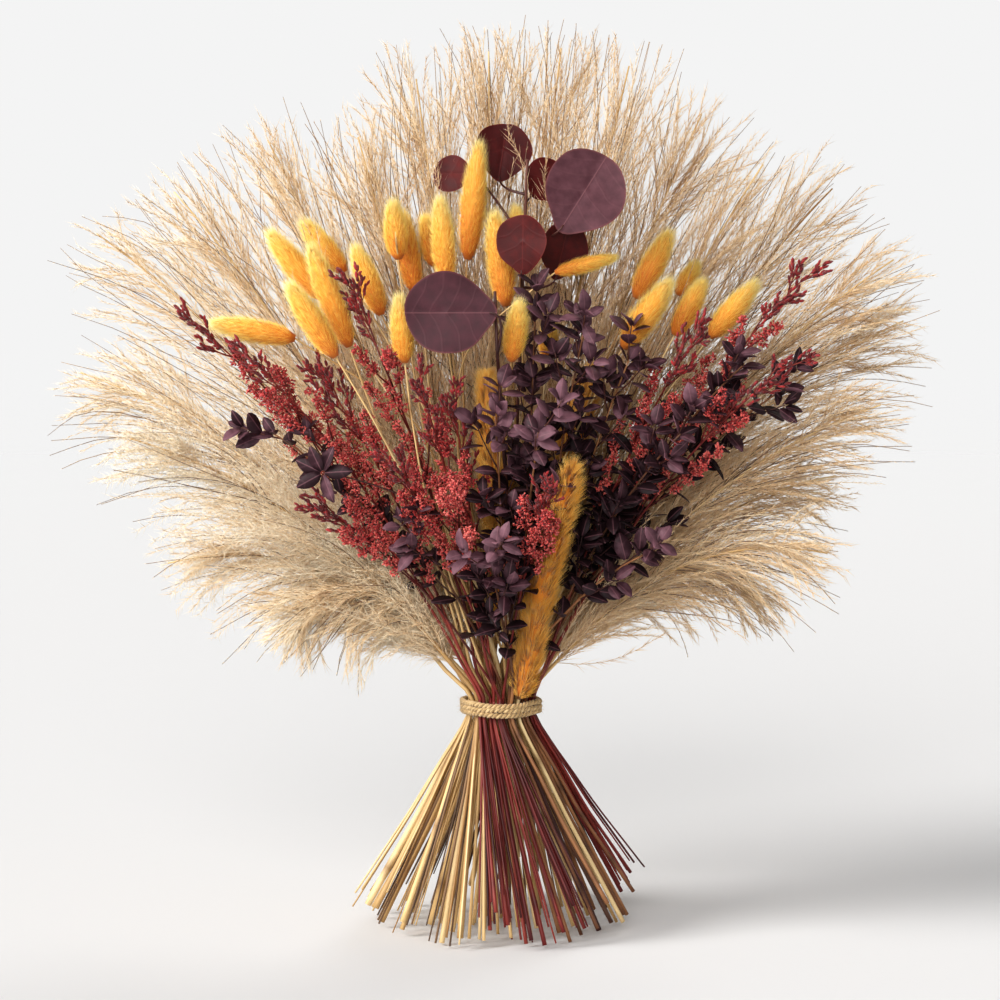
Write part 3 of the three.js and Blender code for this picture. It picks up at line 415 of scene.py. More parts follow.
def route_of(stem):
    """The way from the waist to the tip. A stiff head lies in line with the stem that reaches its base;
    another stem arches over under its head's weight."""
    start = np.array([*stem.waist, TIE_HEIGHT + TIE_GRIP])
    if stem.base is not None:
        stem.head_at = ROUTE_STEPS - STIFF_STEPS
        axis = unit(stem.tip - stem.base)
        bend = stem.base - axis * NOD * length_of(stem.base - start)
        stiff = stem.base + (stem.tip - stem.base) * np.linspace(0, 1, STIFF_STEPS + 1)[1:, None]
        return np.vstack([bezier(start, bend, stem.base, stem.head_at), stiff])
    way = stem.tip - start
    rise = way[2] / 2 + SAG * math.hypot(way[0], way[1]) + stem.droop
    stem.head_at = round(ROUTE_STEPS * HEAD_FROM[stem.kind])
    return bezier(start, start + [ARCH * way[0], ARCH * way[1], rise], stem.tip, ROUTE_STEPS)


def crossing(route, height):
    """Where a route first reaches a height, or nothing."""
    above = np.nonzero(route[:, 2] >= height)[0]
    if not len(above) or above[0] < 1:
        return np.full(3, np.nan)
    low, high = route[above[0] - 1], route[above[0]]
    return low + (high - low) * (height - low[2]) / (high[2] - low[2])


def lay_routes(stems):
    """Marks of each stem at the levels: straight down to its foot, and along its route above the waist."""
    for number, stem in enumerate(stems):
        foot = foot_of(stem, number)
        stem.route = route_of(stem)
        down = np.clip((TIE_HEIGHT - TIE_GRIP - LEVELS) / (TIE_HEIGHT - TIE_GRIP), 0, 1)[:, None]
        level = stem.waist + (foot - stem.waist) * down * (1 - FOOT_CURVE + FOOT_CURVE * down)
        stem.marks = np.column_stack([level, LEVELS])
        for k in range(FIRST_ABOVE, len(LEVELS)):
            stem.marks[k] = crossing(stem.route, LEVELS[k])
        stem.thick = np.where(LEVELS > stem.route[stem.head_at, 2], stem.core, stem.radius)
        stem.foot_rise = max(0, FOOT_RISE * (math.hypot(foot[0], foot[1] - FOOT_BACK) - FLAT_FOOT_RADIUS))


def part_stems(stems):
    """Neighbours that come too close between two levels push each other aside, more in depth than across.

    Between two levels both stems are straight, so their least distance is where the line of their
    difference comes nearest to nothing."""
    place = np.array([stem.marks[:, :2] for stem in stems])
    thick = np.array([stem.thick for stem in stems])
    laid = place.copy()
    one, two = np.triu_indices(len(stems), 1)
    nodes = np.array([stem.node for stem in stems])
    keep = nodes[one] != nodes[two]
    one, two = one[keep], two[keep]
    known = ~np.isnan(place[..., 0])
    for _ in range(PART_ROUNDS):
        moves = np.zeros_like(place)
        for k in range(len(LEVELS) - 1):
            if k == FIRST_ABOVE - 2:
                continue
            both = known[one, k] & known[one, k + 1] & known[two, k] & known[two, k + 1]
            i, j = one[both], two[both]
            start = place[i, k] - place[j, k]
            end = place[i, k + 1] - place[j, k + 1]
            turn = end - start
            share = np.clip(-(start * turn).sum(1) / ((turn ** 2).sum(1) + 1e-9), 0, 1)[:, None]
            apart = start + share * turn
            rise = 2 * (LEVELS[k + 1] - LEVELS[k])
            lean = (place[i, k + 1] - place[i, k] + place[j, k + 1] - place[j, k]) / rise
            level = length_of(apart) + 1e-6
            along = (apart * lean).sum(1) ** 2 / (1 + (lean ** 2).sum(1))
            gap = np.sqrt(np.maximum(level ** 2 - along, 0))
            sizes = thick[i, k:k + 2].max(axis=1) + thick[j, k:k + 2].max(axis=1)
            short = np.maximum(sizes + PART_GAP - gap, 0)
            weights = PART_WEIGHTS if k >= FIRST_ABOVE else np.ones(2)
            push = PART_PUSH * (short / level)[:, None] * weights * apart
            for who, sign in ((i, 1), (j, -1)):
                np.add.at(moves, (who, k), sign * push * (1 - share))
                np.add.at(moves, (who, k + 1), sign * push * share)
        moves[:, FIRST_ABOVE - 2:FIRST_ABOVE] = 0
        place = place + moves
    for stem, now, before in zip(stems, place, laid):
        stem.marks[:, :2] = now
        stem.shift = now - before


def at_shares(path, shares):
    """Points of a path at shares of its count of points, beyond its last point in line with it."""
    place = np.asarray(shares) * (len(path) - 1)
    low = np.clip(np.floor(place).astype(int), 0, len(path) - 2)
    return path[low] + (path[low + 1] - path[low]) * (place - low)[..., None]


def settle_heads(stems):
    """Each head's points, moved as far as the stem was pushed aside at their height."""
    for stem in stems:
        head = at_shares(stem.route[stem.head_at:], np.linspace(0, 1, HEAD_POINTS))
        known = ~np.isnan(stem.marks[:, 0])
        known[:FIRST_ABOVE - 1] = False
        for side in (0, 1):
            head[:, side] += np.interp(head[:, 2], LEVELS[known], stem.shift[known, side], left=0)
        stem.head = head


def part_heads(stems):
    """Heads that come too close make room in depth: the one whose tip lies further back moves back, and
    the other comes forward. The moves are smoothed along each head."""
    share = np.arange(HEAD_POINTS) / (HEAD_POINTS - 1)
    points = np.concatenate([stem.head for stem in stems])
    sizes = np.concatenate([stem.core * swell_of(stem.kind, share) + HEAD_GAP / 2 for stem in stems])
    names = np.repeat([stem.node for stem in stems], HEAD_POINTS)
    depth = np.repeat([stem.tip[1] for stem in stems], HEAD_POINTS)
    one, two = np.triu_indices(len(points), 1)
    near = (names[one] != names[two]) & (length_of(points[one] - points[two]) <= HEAD_SEARCH)
    one, two = one[near], two[near]
    front = depth[one] <= depth[two]
    back, fore = np.where(front, two, one), np.where(front, one, two)
    for _ in range(HEAD_ROUNDS):
        short = np.maximum(0, sizes[back] + sizes[fore] - length_of(points[back] - points[fore]))
        move = np.bincount(back, short, len(points)) - np.bincount(fore, short, len(points))
        move = (HEAD_PUSH * move).reshape(len(stems), HEAD_POINTS)
        padded = np.pad(move, ((0, 0), (1, 1)), mode="edge")
        points[:, 1] += ((padded[:, :-2] + 2 * move + padded[:, 2:]) / 4).ravel()
    for stem, head in zip(stems, points.reshape(len(stems), HEAD_POINTS, 3)):
        stem.head = head


def settle_stalks(stems):
    """The bare stalk's points, from the cut end to the head."""
    for stem in stems:
        ground, above = stem.marks[0], stem.marks[1]
        foot = ground + (above - ground) * stem.foot_rise / above[2]
        marks = stem.marks[1:]
        free = (marks[:, 2] > foot[2] + STALK_FOOT_STEP) & (marks[:, 2] < stem.head[0, 2] - STALK_HEAD_STEP)
        stem.stalk = np.vstack([foot, marks[free], stem.head[0]])


def lay_out():
    """All stems of the sheaf, by node."""
    clumps = all_clumps()
    pack_waist(clumps)
    stems = [stem for clump in clumps for stem in clump.stems]
    lay_routes(stems)
    part_stems(stems)
    settle_heads(stems)
    part_heads(stems)
    settle_stalks(stems)
    return {clump.node: clump.stems for clump in clumps}


# ---------------------------------------------------------------- curves

def span(line):
    """How long a line is."""
    return length_of(np.diff(line, axis=0)).sum()


def run_along(paths):
    """How far along its path each point lies."""
    steps = length_of(np.diff(paths, axis=-2))
    return np.concatenate([0 * steps[..., :1], np.cumsum(steps, axis=-1)], axis=-1)


def smooth(points, step):
    """Catmull-Rom curve through the points, resampled evenly about every `step` millimetres."""
    ends = np.vstack([2 * points[0] - points[1], points, 2 * points[-1] - points[-2]])
    before, start, end, after = ends[:-3], ends[1:-2], ends[2:-1], ends[3:]
    t = np.linspace(0, 1, 12, endpoint=False)[:, None, None]
    curve = 0.5 * (
        2 * start
        + (end - before) * t
        + (2 * before - 5 * start + 4 * end - after) * t ** 2
        + (3 * start - before - 3 * end + after) * t ** 3
    )
    curve = np.vstack([curve.transpose(1, 0, 2).reshape(-1, 3), points[-1:]])
    run = run_along(curve)
    count = max(4, int(round(run[-1] / step)) + 1)
    even = np.linspace(0, run[-1], count)
    return np.column_stack([np.interp(even, run, curve[:, k]) for k in range(3)])


def frames(paths):
    """Unit tangent and two unit sides at each point of paths shaped (n, m, 3). The first side is square
    to the tangent and to the axis that the path leans on least."""
    tangent = unit(np.gradient(paths, axis=1))
    chord = np.abs(paths[:, -1] - paths[:, 0])
    guide = np.eye(3)[np.argmin(chord, axis=1)][:, None]
    side = unit(np.cross(tangent, guide))
    return tangent, side, np.cross(tangent, side)


def around(side, other, turn):
    """The direction at an angle round a path, from its side towards its other side."""
    return np.cos(turn)[..., None] * side + np.sin(turn)[..., None] * other


def leave(lines, share, turn):
    """Where branches leave lines shaped (n, m, 3) at shares shaped (n, each): the points, the way that
    the lines run there, and the way out at each branch's turn round its line."""
    place = np.clip(share, 0, 1) * (lines.shape[1] - 1)
    low = np.clip(np.floor(place).astype(int), 0, lines.shape[1] - 2)
    rows = np.arange(len(lines))[:, None]
    point = lines[rows, low] + (lines[rows, low + 1] - lines[rows, low]) * (place - low)[..., None]
    tangent, side, other = (ways[rows, low] for ways in frames(lines))
    return point, tangent, around(side, other, turn)


def spaced(rng, lines, each, first, margin):
    """Shares of each line from `first` to its end: one in each of even steps, off both ends of its step
    by the margin."""
    steps = np.arange(each) + rng.uniform(margin, 1 - margin, (len(lines), each))
    return first + (1 - first) * steps / each


# ---------------------------------------------------------------- meshes

class Shell:
    """Closed shapes collected for one piece, in millimetres, with what its finishes read: `along` from 0
    at a shape's root to 1 at its tip, `tone`, its own shade, and `grain`, a place on its unrolled self."""

    def __init__(self, finishes):
        self.finishes = finishes
        self.parts = []
        self.total = 0

    def add(self, points, faces, finish, along, tone, grain=0.0, soft=True):
        """n copies of one net of faces, with points shaped (n, k, 3), soft where they shade as one skin."""
        n, k, _ = points.shape
        start = self.total + k * np.arange(n)[:, None, None]
        self.parts.append((
            points.reshape(-1, 3),
            (faces[None] + start).reshape(-1, 3),
            np.full(n * len(faces), self.finishes.index(finish)),
            np.broadcast_to(along, (n, k)).ravel(),
            np.broadcast_to(np.asarray(tone, float).reshape(-1, 1), (n, k)).ravel(),
            np.broadcast_to(grain, (n, k, 3)).reshape(-1, 3),
            np.tile(np.broadcast_to(soft, len(faces)), n),
        ))
        self.total += n * k

    def piece(self, name):
        """The collected shapes as one object at the origin, its place in its mesh. What strays past the
        frame's box is drawn in towards it."""
        points, faces, finish, along, tone, grain, soft = (np.concatenate(rows) for rows in zip(*self.parts))
        low, high = ((np.array(corner) - TIE_AXIS) / MM for corner in CAD_BOX)
        inside = np.clip(points, low, high)
        points = inside + (points - inside) * STRAY_KEPT
        mesh = bpy.data.meshes.new(name)
        mesh.vertices.add(len(points))
        mesh.vertices.foreach_set("co", (points * MM + TIE_AXIS).astype(np.float32).ravel())
        mesh.loops.add(3 * len(faces))
        mesh.loops.foreach_set("vertex_index", faces.astype(np.int32).ravel())
        mesh.polygons.add(len(faces))
        mesh.polygons.foreach_set("loop_start", np.arange(0, 3 * len(faces), 3, dtype=np.int32))
        mesh.polygons.foreach_set("material_index", finish.astype(np.int32))
        mesh.update(calc_edges=True)
        mesh.polygons.foreach_set("use_smooth", soft)
        for label, kind, key, values in (
            ("along", "FLOAT", "value", along),
            ("tone", "FLOAT", "value", tone),
            ("grain", "FLOAT_VECTOR", "vector", grain * MM),
        ):
            layer = mesh.attributes.new(label, kind, "POINT")
            layer.data.foreach_set(key, values.astype(np.float32).ravel())
        for material in self.finishes:
            mesh.materials.append(material)
        made = bpy.data.objects.new(name, mesh)
        bpy.context.scene.collection.objects.link(made)
        return made


def split(a, b, c, d):
    """Two triangles for each four corners."""
    return np.vstack([np.column_stack([a, b, c]), np.column_stack([a, c, d])])


def wall_net(rings, sides):
    """Triangles between each ring of corners and the next."""
    a = np.arange(rings * sides)
    b = a // sides * sides + (a + 1) % sides
    return split(a, b, b + sides, a + sides)


def tube_net(rings, sides):
    """Triangles of a tube of rings, whose last two points close its ends."""
    j = np.arange(sides)
    near, far = (j + 1) % sides, (rings - 1) * sides
    first, last = np.full(sides, rings * sides), np.full(sides, rings * sides + 1)
    ends = np.vstack([np.column_stack([first, near, j]), np.column_stack([last, far + j, far + near])])
    return np.vstack([wall_net(rings - 1, sides), ends])


def circle(side, other, corners):
    """Directions at even turns from a side towards the other side."""
    turn = 2 * math.pi * np.arange(corners)[:, None] / corners
    return np.cos(turn) * side[..., None, :] + np.sin(turn) * other[..., None, :]


def tube_walls(paths, side, other, radii, corners):
    """Circles of the radii carried along paths, their places on the unrolled tubes, and each path's run."""
    x, y, z = np.eye(3)
    radii = radii[..., None, None]
    run = run_along(paths)
    unrolled = radii * circle(x, y, corners) + run[..., None, None] * z
    return paths[..., None, :] + radii * circle(side, other, corners), unrolled, run


def add_tubes(shell, paths, radii, sides, finish, along, tone):
    """Round tubes: a circle of the given radius carried along each path, closed with a point at each end."""
    n, m, _ = paths.shape
    _, side, other = frames(paths)
    walls, unrolled, run = tube_walls(paths, side, other, np.broadcast_to(radii, (n, m)), sides)
    points = np.concatenate([walls.reshape(n, m * sides, 3), paths[:, :1], paths[:, -1:]], axis=1)
    grain = np.concatenate([unrolled.reshape(n, m * sides, 3), run[:, [0, -1], None] * [0, 0, 1]], axis=1)
    along = np.broadcast_to(along, (n, m))
    spread = np.concatenate([np.repeat(along, sides, axis=1), along[:, :1], along[:, -1:]], axis=1)
    shell.add(points, tube_net(m, sides), finish, spread, tone, grain)


def add_ring(shell, line, radii, sides, finish, tone):
    """A closed loop of tube: a circle carried round a closed path, its last ring joined to its first."""
    tangent = unit(np.roll(line, -1, axis=0) - np.roll(line, 1, axis=0))
    side = unit(np.cross(tangent, [0, 0, 1]))
    walls, unrolled, _ = tube_walls(line, side, np.cross(tangent, side), radii, sides)
    faces = wall_net(len(line), sides) % (len(line) * sides)
    shell.add(walls.reshape(1, -1, 3), faces, finish, 0.5, tone, unrolled.reshape(1, -1, 3))


def girth(roots, tips, thick):
    """Three ways out, square to each way from a root to its tip, as long as half its thickness."""
    way = tips - roots
    side = unit(np.cross(way, np.eye(3)[np.argmin(np.abs(way), axis=1)]))
    return np.broadcast_to(thick, len(roots))[:, None, None] / 2 * circle(side, unit(np.cross(way, side)), 3)


def add_hairs(shell, roots, tips, thick, finish, tone, low=0.15):
    """Fine hairs: a three-cornered spike each, from a small triangle round its root to its tip."""
    points = np.concatenate([roots[:, None] - girth(roots, tips, thick), tips[:, None]], axis=1)
    faces = np.array([[0, 1, 2], [3, 1, 0], [3, 2, 1], [3, 0, 2]])
    shell.add(points, faces, finish, [low, low, low, 1.0], tone)


def add_grains(shell, roots, tips, thick, finish, tone):
    """Small grains: a double three-sided pyramid each, widest at 0.45 of its length."""
    waist = (roots + 0.45 * (tips - roots))[:, None] - girth(roots, tips, thick)
    points = np.concatenate([roots[:, None], waist, tips[:, None]], axis=1)
    faces = np.array([[0, 1, 2], [0, 2, 3], [0, 3, 1], [4, 2, 1], [4, 3, 2], [4, 1, 3]])
    shell.add(points, faces, finish, [0, 0.4, 0.4, 0.4, 1], tone)


def flared(line, rise):
    """A stalk's points, with its foot spread outwards by FLARE and cut off at a rise. Below the twine the
    curve of the frame's stem gives way to a straighter one, so that the way down goes as the share of the
    height times 1 - STRAIGHT_CURVE + STRAIGHT_CURVE of it. Points between the lowest three keep it so."""
    down = np.clip(1 - line[:, 2:] / (TIE_HEIGHT - TIE_GRIP), 0, 1)
    middle = np.array([0, FOOT_BACK])
    waist, foot = line[2, :2], line[0, :2]
    spread = middle + (1 + FLARE) * (foot - middle)
    out = line.copy()
    out[:, :2] += (spread - waist) * down * (1 - STRAIGHT_CURVE + STRAIGHT_CURVE * down)
    out[:, :2] -= (foot - waist) * down * (1 - FOOT_CURVE + FOOT_CURVE * down)
    out[0, 2] += rise
    low = [out[0] + (out[1] - out[0]) * 0.5, out[1] + (out[2] - out[1]) * 0.45]
    return np.vstack([out[:1], low[:1], out[1:2], low[1:], out[2:]])


def add_stalk(shell, stem, rng, finish, end_radius=0.5, joints=75.0, sides=9):
    """A stem: a circle that tapers along a smooth curve through the stalk and the head, with a swollen
    joint every so often."""
    stalk = flared(stem.stalk, rng.uniform(0, CUT_RISE))
    line = smooth(np.vstack([stalk, stem.head[1:]]), STALK_STEP)
    run = run_along(line)
    share = run / run[-1]
    radius = STALK_SLIM * stem.radius * rng.uniform(0.8, 1.08) * (1 - share) + end_radius * share
    places = np.arange(rng.uniform(0.3, 1) * joints, run[-1], joints)
    near = np.exp(-((run[:, None] - places[None]) / JOINT_REACH) ** 2).sum(axis=1)
    radii = radius * (1 + JOINT_SWELL * near)
    add_tubes(shell, line[None], radii[None], sides, finish, near[None], rng.uniform(0, 1))


def add_sheaths(shell, stem, rng, finish, count):
    """Dry strips that have peeled off a stem below the twine: each leaves it and strays away downwards."""
    stalk = flared(stem.stalk, 0)
    stalk = stalk[stalk[:, 2] < TIE_HEIGHT + 8][::-1]
    line = smooth(stalk, 12.0)
    t = np.linspace(0, 1, len(line))[None, :, None]
    stray = np.concatenate([rng.normal(0, 6, (count, 1, 2)), np.zeros((count, 1, 1))], axis=2)
    paths = line[None] + stray * t ** 1.2
    paths[..., 2] += rng.uniform(0, 14, (count, 1)) * t[..., 0]
    radii = rng.uniform(0.55, 1.1, (count, 1)) * np.linspace(1, 0.7, len(line))
    add_tubes(shell, paths, radii, 5, finish, 0.1, rng.uniform(0, 1, count))


# ---------------------------------------------------------------- plumes

def plume_axis(stem, start):
    """The line that a plume's strands leave: the stalk from a height above the twine, then the head."""
    stalk = stem.stalk[stem.stalk[:, 2] > TIE_HEIGHT + start]
    return smooth(np.vstack([stalk[:-1], stem.head]), PLUME_STEP)


def strands(axis, rng, share, length, lateral, points):
    """Strands of a plume: each leaves the axis at its share, runs on beside it for its length and moves
    out to its lateral distance as its own share to the power STRAND_FLARE. The more level the axis, the
    more each strand droops, as the square of its share."""
    count = len(share)
    tangent, side, other = frames(axis[None])
    turn = GOLDEN_TURN * np.arange(count) + rng.uniform(-0.6, 0.6, count)
    t = np.linspace(0, 1, points)
    place = share[:, None] + t * (length / span(axis))[:, None]
    inside = np.clip(place, 0, 1)
    out = around(at_shares(side[0], inside), at_shares(other[0], inside), turn[:, None])
    out[..., 1] *= PLUME_DEPTH
    line = at_shares(axis, place) + lateral[:, None, None] * (t ** STRAND_FLARE)[None, :, None] * out
    sway = (length * STRAND_SWAY)[:, None, None]
    line = line + rng.normal(0, 1, (count, 1, 3)) * np.sin(math.pi * t)[None, :, None] * sway
    level = 1 - np.abs(at_shares(tangent[0], inside)[..., 2])
    line[..., 2] -= STRAND_DROOP * level * t ** 2 * length[:, None]
    return line


def add_barbs(shell, rng, lines, each, finish, length, lean, thick, tone, first=0.1):
    """Hairs along strands: each leaves its strand at a lean, all round it, shorter towards its tip."""
    share = spaced(rng, lines, each, first, 0)
    root, tangent, out = leave(lines, share, rng.uniform(0, 2 * math.pi, share.shape))
    angle = rng.normal(lean, lean * 0.3, share.shape)[..., None]
    way = tangent * np.cos(angle) + out * np.sin(angle)
    size = length * rng.uniform(0.6, 1.15, share.shape) * (1.1 - 0.6 * share)
    tip = root + way * size[..., None]
    shade = np.clip(np.asarray(tone).reshape(-1, 1) + rng.normal(0, 0.14, share.shape), 0, 1)
    add_hairs(shell, root.reshape(-1, 3), tip.reshape(-1, 3), thick, finish, shade)


def add_plume(shell, stem, rng, style, shade):
    """A plume: strands from its axis clothed in barbs, and longer, darker wisps with a few spikelets."""
    axis = plume_axis(stem, PLUME_FROM)
    run = span(axis)
    wide = style["wide"] * stem.width / 2
    count = style["strands"]
    share = rng.uniform(0, 1, count) ** 1.15 * 0.88
    length = np.minimum(rng.uniform(0.22, 0.46, count), (1.06 - share) * rng.uniform(0.45, 1, count)) * run
    reach = wide * np.interp(share + length / run, PLUME_PLACES, PLUME_REACH)
    lines = strands(axis, rng, share, length, reach * rng.uniform(0.05, 1, count) ** 0.7, 7)
    tone = np.clip(shade + rng.normal(0, 0.12, count), 0, 1)
    add_tubes(shell, lines, np.linspace(0.24, 0.1, 7)[None], 3, HAIR, 0.3, tone)
    add_barbs(shell, rng, lines, style["barbs"], HAIR, style["barb"], style["lean"], style["thick"], tone)
    add_barbs(shell, rng, lines, style["ears"], HAIR, 6.5, 0.5, 0.44, tone + 0.08, first=0.45)
    count = style["wisps"]
    share = rng.uniform(0.2, 0.66, count)
    length = np.minimum(rng.uniform(0.35, 0.6, count) * run, (1.05 - share) * run)
    reach = wide * np.interp(share + length / run, PLUME_PLACES, PLUME_REACH)
    wisps = strands(axis, rng, share, length, reach * rng.uniform(0.6, 1.4, count), 9)
    add_tubes(shell, wisps, np.linspace(0.42, 0.2, 9)[None], 3, WISP, 0.9, rng.uniform(0, 1, count))
    add_barbs(shell, rng, wisps, 14, HAIR, 5.0, 0.35, 0.42, shade, first=0.45)


def add_feather(shell, axis, wide, rng):
    """A dense feather: a core round the axis clothed in locks of hair that lean forwards. Its width goes
    from a narrow base to a full middle and a pointed tip."""
    swell = np.interp(np.linspace(0, 1, len(axis)), FEATHER_PLACES, FEATHER_SWELL)
    add_tubes(shell, axis[None], FEATHER_HEART * wide * swell[None], 12, TAIL_CORE, 0.3, 0.05)
    tangent, side, other = frames(axis[None])
    hairs = FEATHER_LOCKS * LOCK_HAIRS

    def locked(spread, values):
        return (values[:, None] + rng.normal(0, spread, (FEATHER_LOCKS, LOCK_HAIRS))).ravel()

    share = np.clip(locked(0.012, rng.uniform(0, 1, FEATHER_LOCKS)), 0, 1)
    turn = locked(0.16, rng.uniform(0, 2 * math.pi, FEATHER_LOCKS))
    lean = locked(0.06, rng.normal(0.42, 0.1, FEATHER_LOCKS))[:, None]
    out = around(at_shares(side[0], share), at_shares(other[0], share), turn)
    swell = np.interp(share, FEATHER_PLACES, FEATHER_SWELL)[:, None]
    root = at_shares(axis, share) + FEATHER_ROOTS * wide * swell * out
    way = at_shares(tangent[0], share) * np.cos(lean) + out * np.sin(lean)
    reach = np.minimum(rng.uniform(9, 17, hairs), 8 + (1 - share) * span(axis))[:, None]
    shade = np.clip(locked(0.07, rng.normal(0.5, 0.24, FEATHER_LOCKS)), 0, 1)
    add_hairs(shell, root, root + way * reach, rng.uniform(0.26, 0.42, hairs), OCHRE_HAIR, shade, low=0.0)


def add_tail(shell, stem, rng, tone):
    """A bunny tail: an egg-shaped core, its radius a sine arch along its axis, clothed in fine hairs that
    lean forwards and lengthen towards the tip."""
    base, width = stem.head[0], stem.width
    way = stem.head[-1] - base
    line = base + way * np.linspace(0, 1, 14)[:, None]
    radius = width / 2 * TAIL_HEART * swell_of("bunny_tail", np.linspace(0.02, 0.98, 14))
    add_tubes(shell, line[None], radius[None], 12, TAIL_CORE, np.linspace(0, 1, 14)[None], tone)
    share = rng.uniform(0.01, 1, TAIL_HAIRS) ** 0.9
    turn = rng.uniform(0, 2 * math.pi, TAIL_HAIRS)
    forward = unit(way)
    side = unit(np.cross(forward, [0.3, 1, 0.2]))
    out = around(side, np.cross(forward, side), turn)
    rooted = width / 2 * TAIL_ROOTS * swell_of("bunny_tail", share)
    root = base + way * share[:, None] + out * rooted[:, None]
    lean = (0.2 + 0.45 * (1 - share) + rng.normal(0, 0.12, TAIL_HAIRS))[:, None]
    reach = (width * 0.4 * (0.8 + 0.2 * share) * rng.uniform(0.6, 1.25, TAIL_HAIRS))[:, None]
    tips = root + (forward * np.cos(lean) + out * np.sin(lean)) * reach
    # Hairs low on the tail are a deeper orange: partly the tail's own colour, partly painted shade at its
    # base.
    shade = np.clip(0.15 + 0.75 * share + tone + rng.normal(0, 0.1, TAIL_HAIRS), 0, 1)
    add_hairs(shell, root, tips, rng.uniform(0.13, 0.2, TAIL_HAIRS), TAIL, shade, low=0.0)


# ---------------------------------------------------------------- red sprays

def branch_off(lines, rng, each, lean, length, first, curve=0.25, flat=0.0):
    """Side branches: each leaves its line at a lean, in turn round it, and curves back along it."""
    share = spaced(rng, lines, each, first, 0.1)
    turn = GOLDEN_TURN * np.arange(each) + rng.uniform(0, 6.28, (len(lines), 1))
    root, forward, out = leave(lines, share, turn + rng.uniform(-0.4, 0.4, share.shape))
    out[..., 1] *= 1 - flat
    size = (length(share) * rng.uniform(0.75, 1.2, share.shape))[..., None, None]
    t = np.linspace(0, 1, 5)[:, None]
    angle = lean + rng.normal(0, 0.08, (*share.shape, 1, 1))
    ahead = forward[:, :, None] * (np.cos(angle) * t + curve * t ** 2)
    aside = out[:, :, None] * np.sin(angle) * (t - 0.3 * curve * t ** 2)
    return (root[:, :, None] + size * (ahead + aside)).reshape(-1, 5, 3), share.ravel()


def add_buds(shell, rng, lines, each, length, width, lean, tone, first):
    """Buds: four-sided spindles of two rings that sit round their twig, pointing forwards."""
    share = spaced(rng, lines, each, first, 0.2)
    root, tangent, out = leave(lines, share, rng.uniform(0, 2 * math.pi, share.shape))
    angle = rng.normal(lean, 0.2, share.shape)[..., None]
    forward = (tangent * np.cos(angle) + out * np.sin(angle)).reshape(-1, 1, 3)
    size = (length * rng.uniform(0.75, 1.2, share.shape)).reshape(-1, 1, 1)
    line = root.reshape(-1, 1, 3) + forward * size * np.array([0, 0.3, 0.72, 1])[:, None]
    thick = np.array([0.25, 0.95, 0.9, 0.2]) * (width / 2 * rng.uniform(0.8, 1.15, (share.size, 1)))
    shade = np.clip(tone + rng.normal(0, 0.15, share.size), 0, 1)
    add_tubes(shell, line, thick, 4, BUD, np.array([[0, 0.3, 0.8, 1]]), shade)


def add_crumbs(shell, rng, lines, each, heap, tone, first):
    """Florets heaped round their twig, as far out as the heap, each turned its own way. Those near the twig
    are painted darker, as painted shade in the crevices, and those far out paler, as painted highlight.
    """
    shape = (len(lines), each)
    share = first + (1.05 - first) * rng.uniform(0, 1, shape)
    middle, tangent, out = leave(lines, share, rng.uniform(0, 2 * math.pi, shape))
    root = middle + out * (heap * rng.uniform(0, 1, shape) ** 0.6)[..., None]
    way = unit(out + 0.8 * tangent + rng.normal(0, 0.5, (*shape, 3)))
    reach = (FLORET * rng.uniform(0.7, 1.3, shape))[..., None]
    # Painted shade and highlight: darker near the twig, in the crevices, and paler far out on the heap.
    painted_shade_and_highlight = 0.8 * length_of(root - middle) / heap - 0.55
    shade = np.clip(tone.reshape(-1, 1) + painted_shade_and_highlight + rng.normal(0, 0.16, shape), 0, 1)
    add_grains(shell, root.reshape(-1, 3), (root + way * reach).reshape(-1, 3), 0.72 * FLORET, BUD, shade)


def head_line(stem):
    """The line of a leafy or branched head, one path in an array."""
    return smooth(np.vstack([stem.stalk[-2:-1], stem.head]), HEAD_STEP)[None]


def add_spray(shell, stem, rng):
    """A red spray: its lower branches end in crumbly coral clusters, its upper ones in long dark buds."""
    head = head_line(stem)
    side, share = branch_off(
        head, rng, SPRAY_BRANCHES, 0.5, lambda s: 9.0 + 34.0 * (1 - s), first=0.04, curve=0.45, flat=0.6)
    add_tubes(shell, side, np.linspace(0.6, 0.3, 5)[None], 4, RED_TWIG, 0.2, share)
    late = share + rng.normal(0, 0.06, len(share)) > SPRAY_TURN
    fine, _ = branch_off(
        side[~late], rng, SPRAY_TWIGS, 0.7, lambda s: 7.5 * (1.25 - 0.75 * s), first=0.4, curve=0.2)
    shade = np.clip(1.1 - 0.6 * share[~late], 0, 1)
    add_crumbs(shell, rng, fine, 24, 1.8, np.repeat(shade, SPRAY_TWIGS), first=0.25)
    add_crumbs(shell, rng, side[~late], 44, 1.9, shade, first=0.5)
    fine, _ = branch_off(side[late], rng, 4, 0.5, lambda s: 11.0 * (1.1 - 0.6 * s), first=0.1, curve=0.3)
    add_tubes(shell, fine, np.linspace(0.35, 0.22, 5)[None], 3, RED_TWIG, 0.2, 0.3)
    add_buds(shell, rng, fine, 5, 4.3, 1.9, 0.35, 0.18, first=0.35)
    add_buds(shell, rng, side[late], 5, 4.5, 2.0, 0.35, 0.15, first=0.6)
    add_buds(shell, rng, head[:, -5:], 10, 4.6, 2.2, 0.4, 0.12, first=0.0)


# ---------------------------------------------------------------- leaves

def blade_net(rows, columns):
    """Triangles of a thin blade: its front and back grids, and the rim that joins them."""
    grid = np.arange(rows * columns).reshape(rows, columns)
    front = split(*(part.ravel() for part in (grid[:-1, :-1], grid[:-1, 1:], grid[1:, 1:], grid[1:, :-1])))
    rim = np.concatenate([grid[0, :], grid[1:, -1], grid[-1, -2::-1], grid[-2:0:-1, 0]])
    after, back = np.roll(rim, -1), rows * columns
    return np.vstack([front, front[:, ::-1] + back, split(rim, rim + back, after + back, after)])


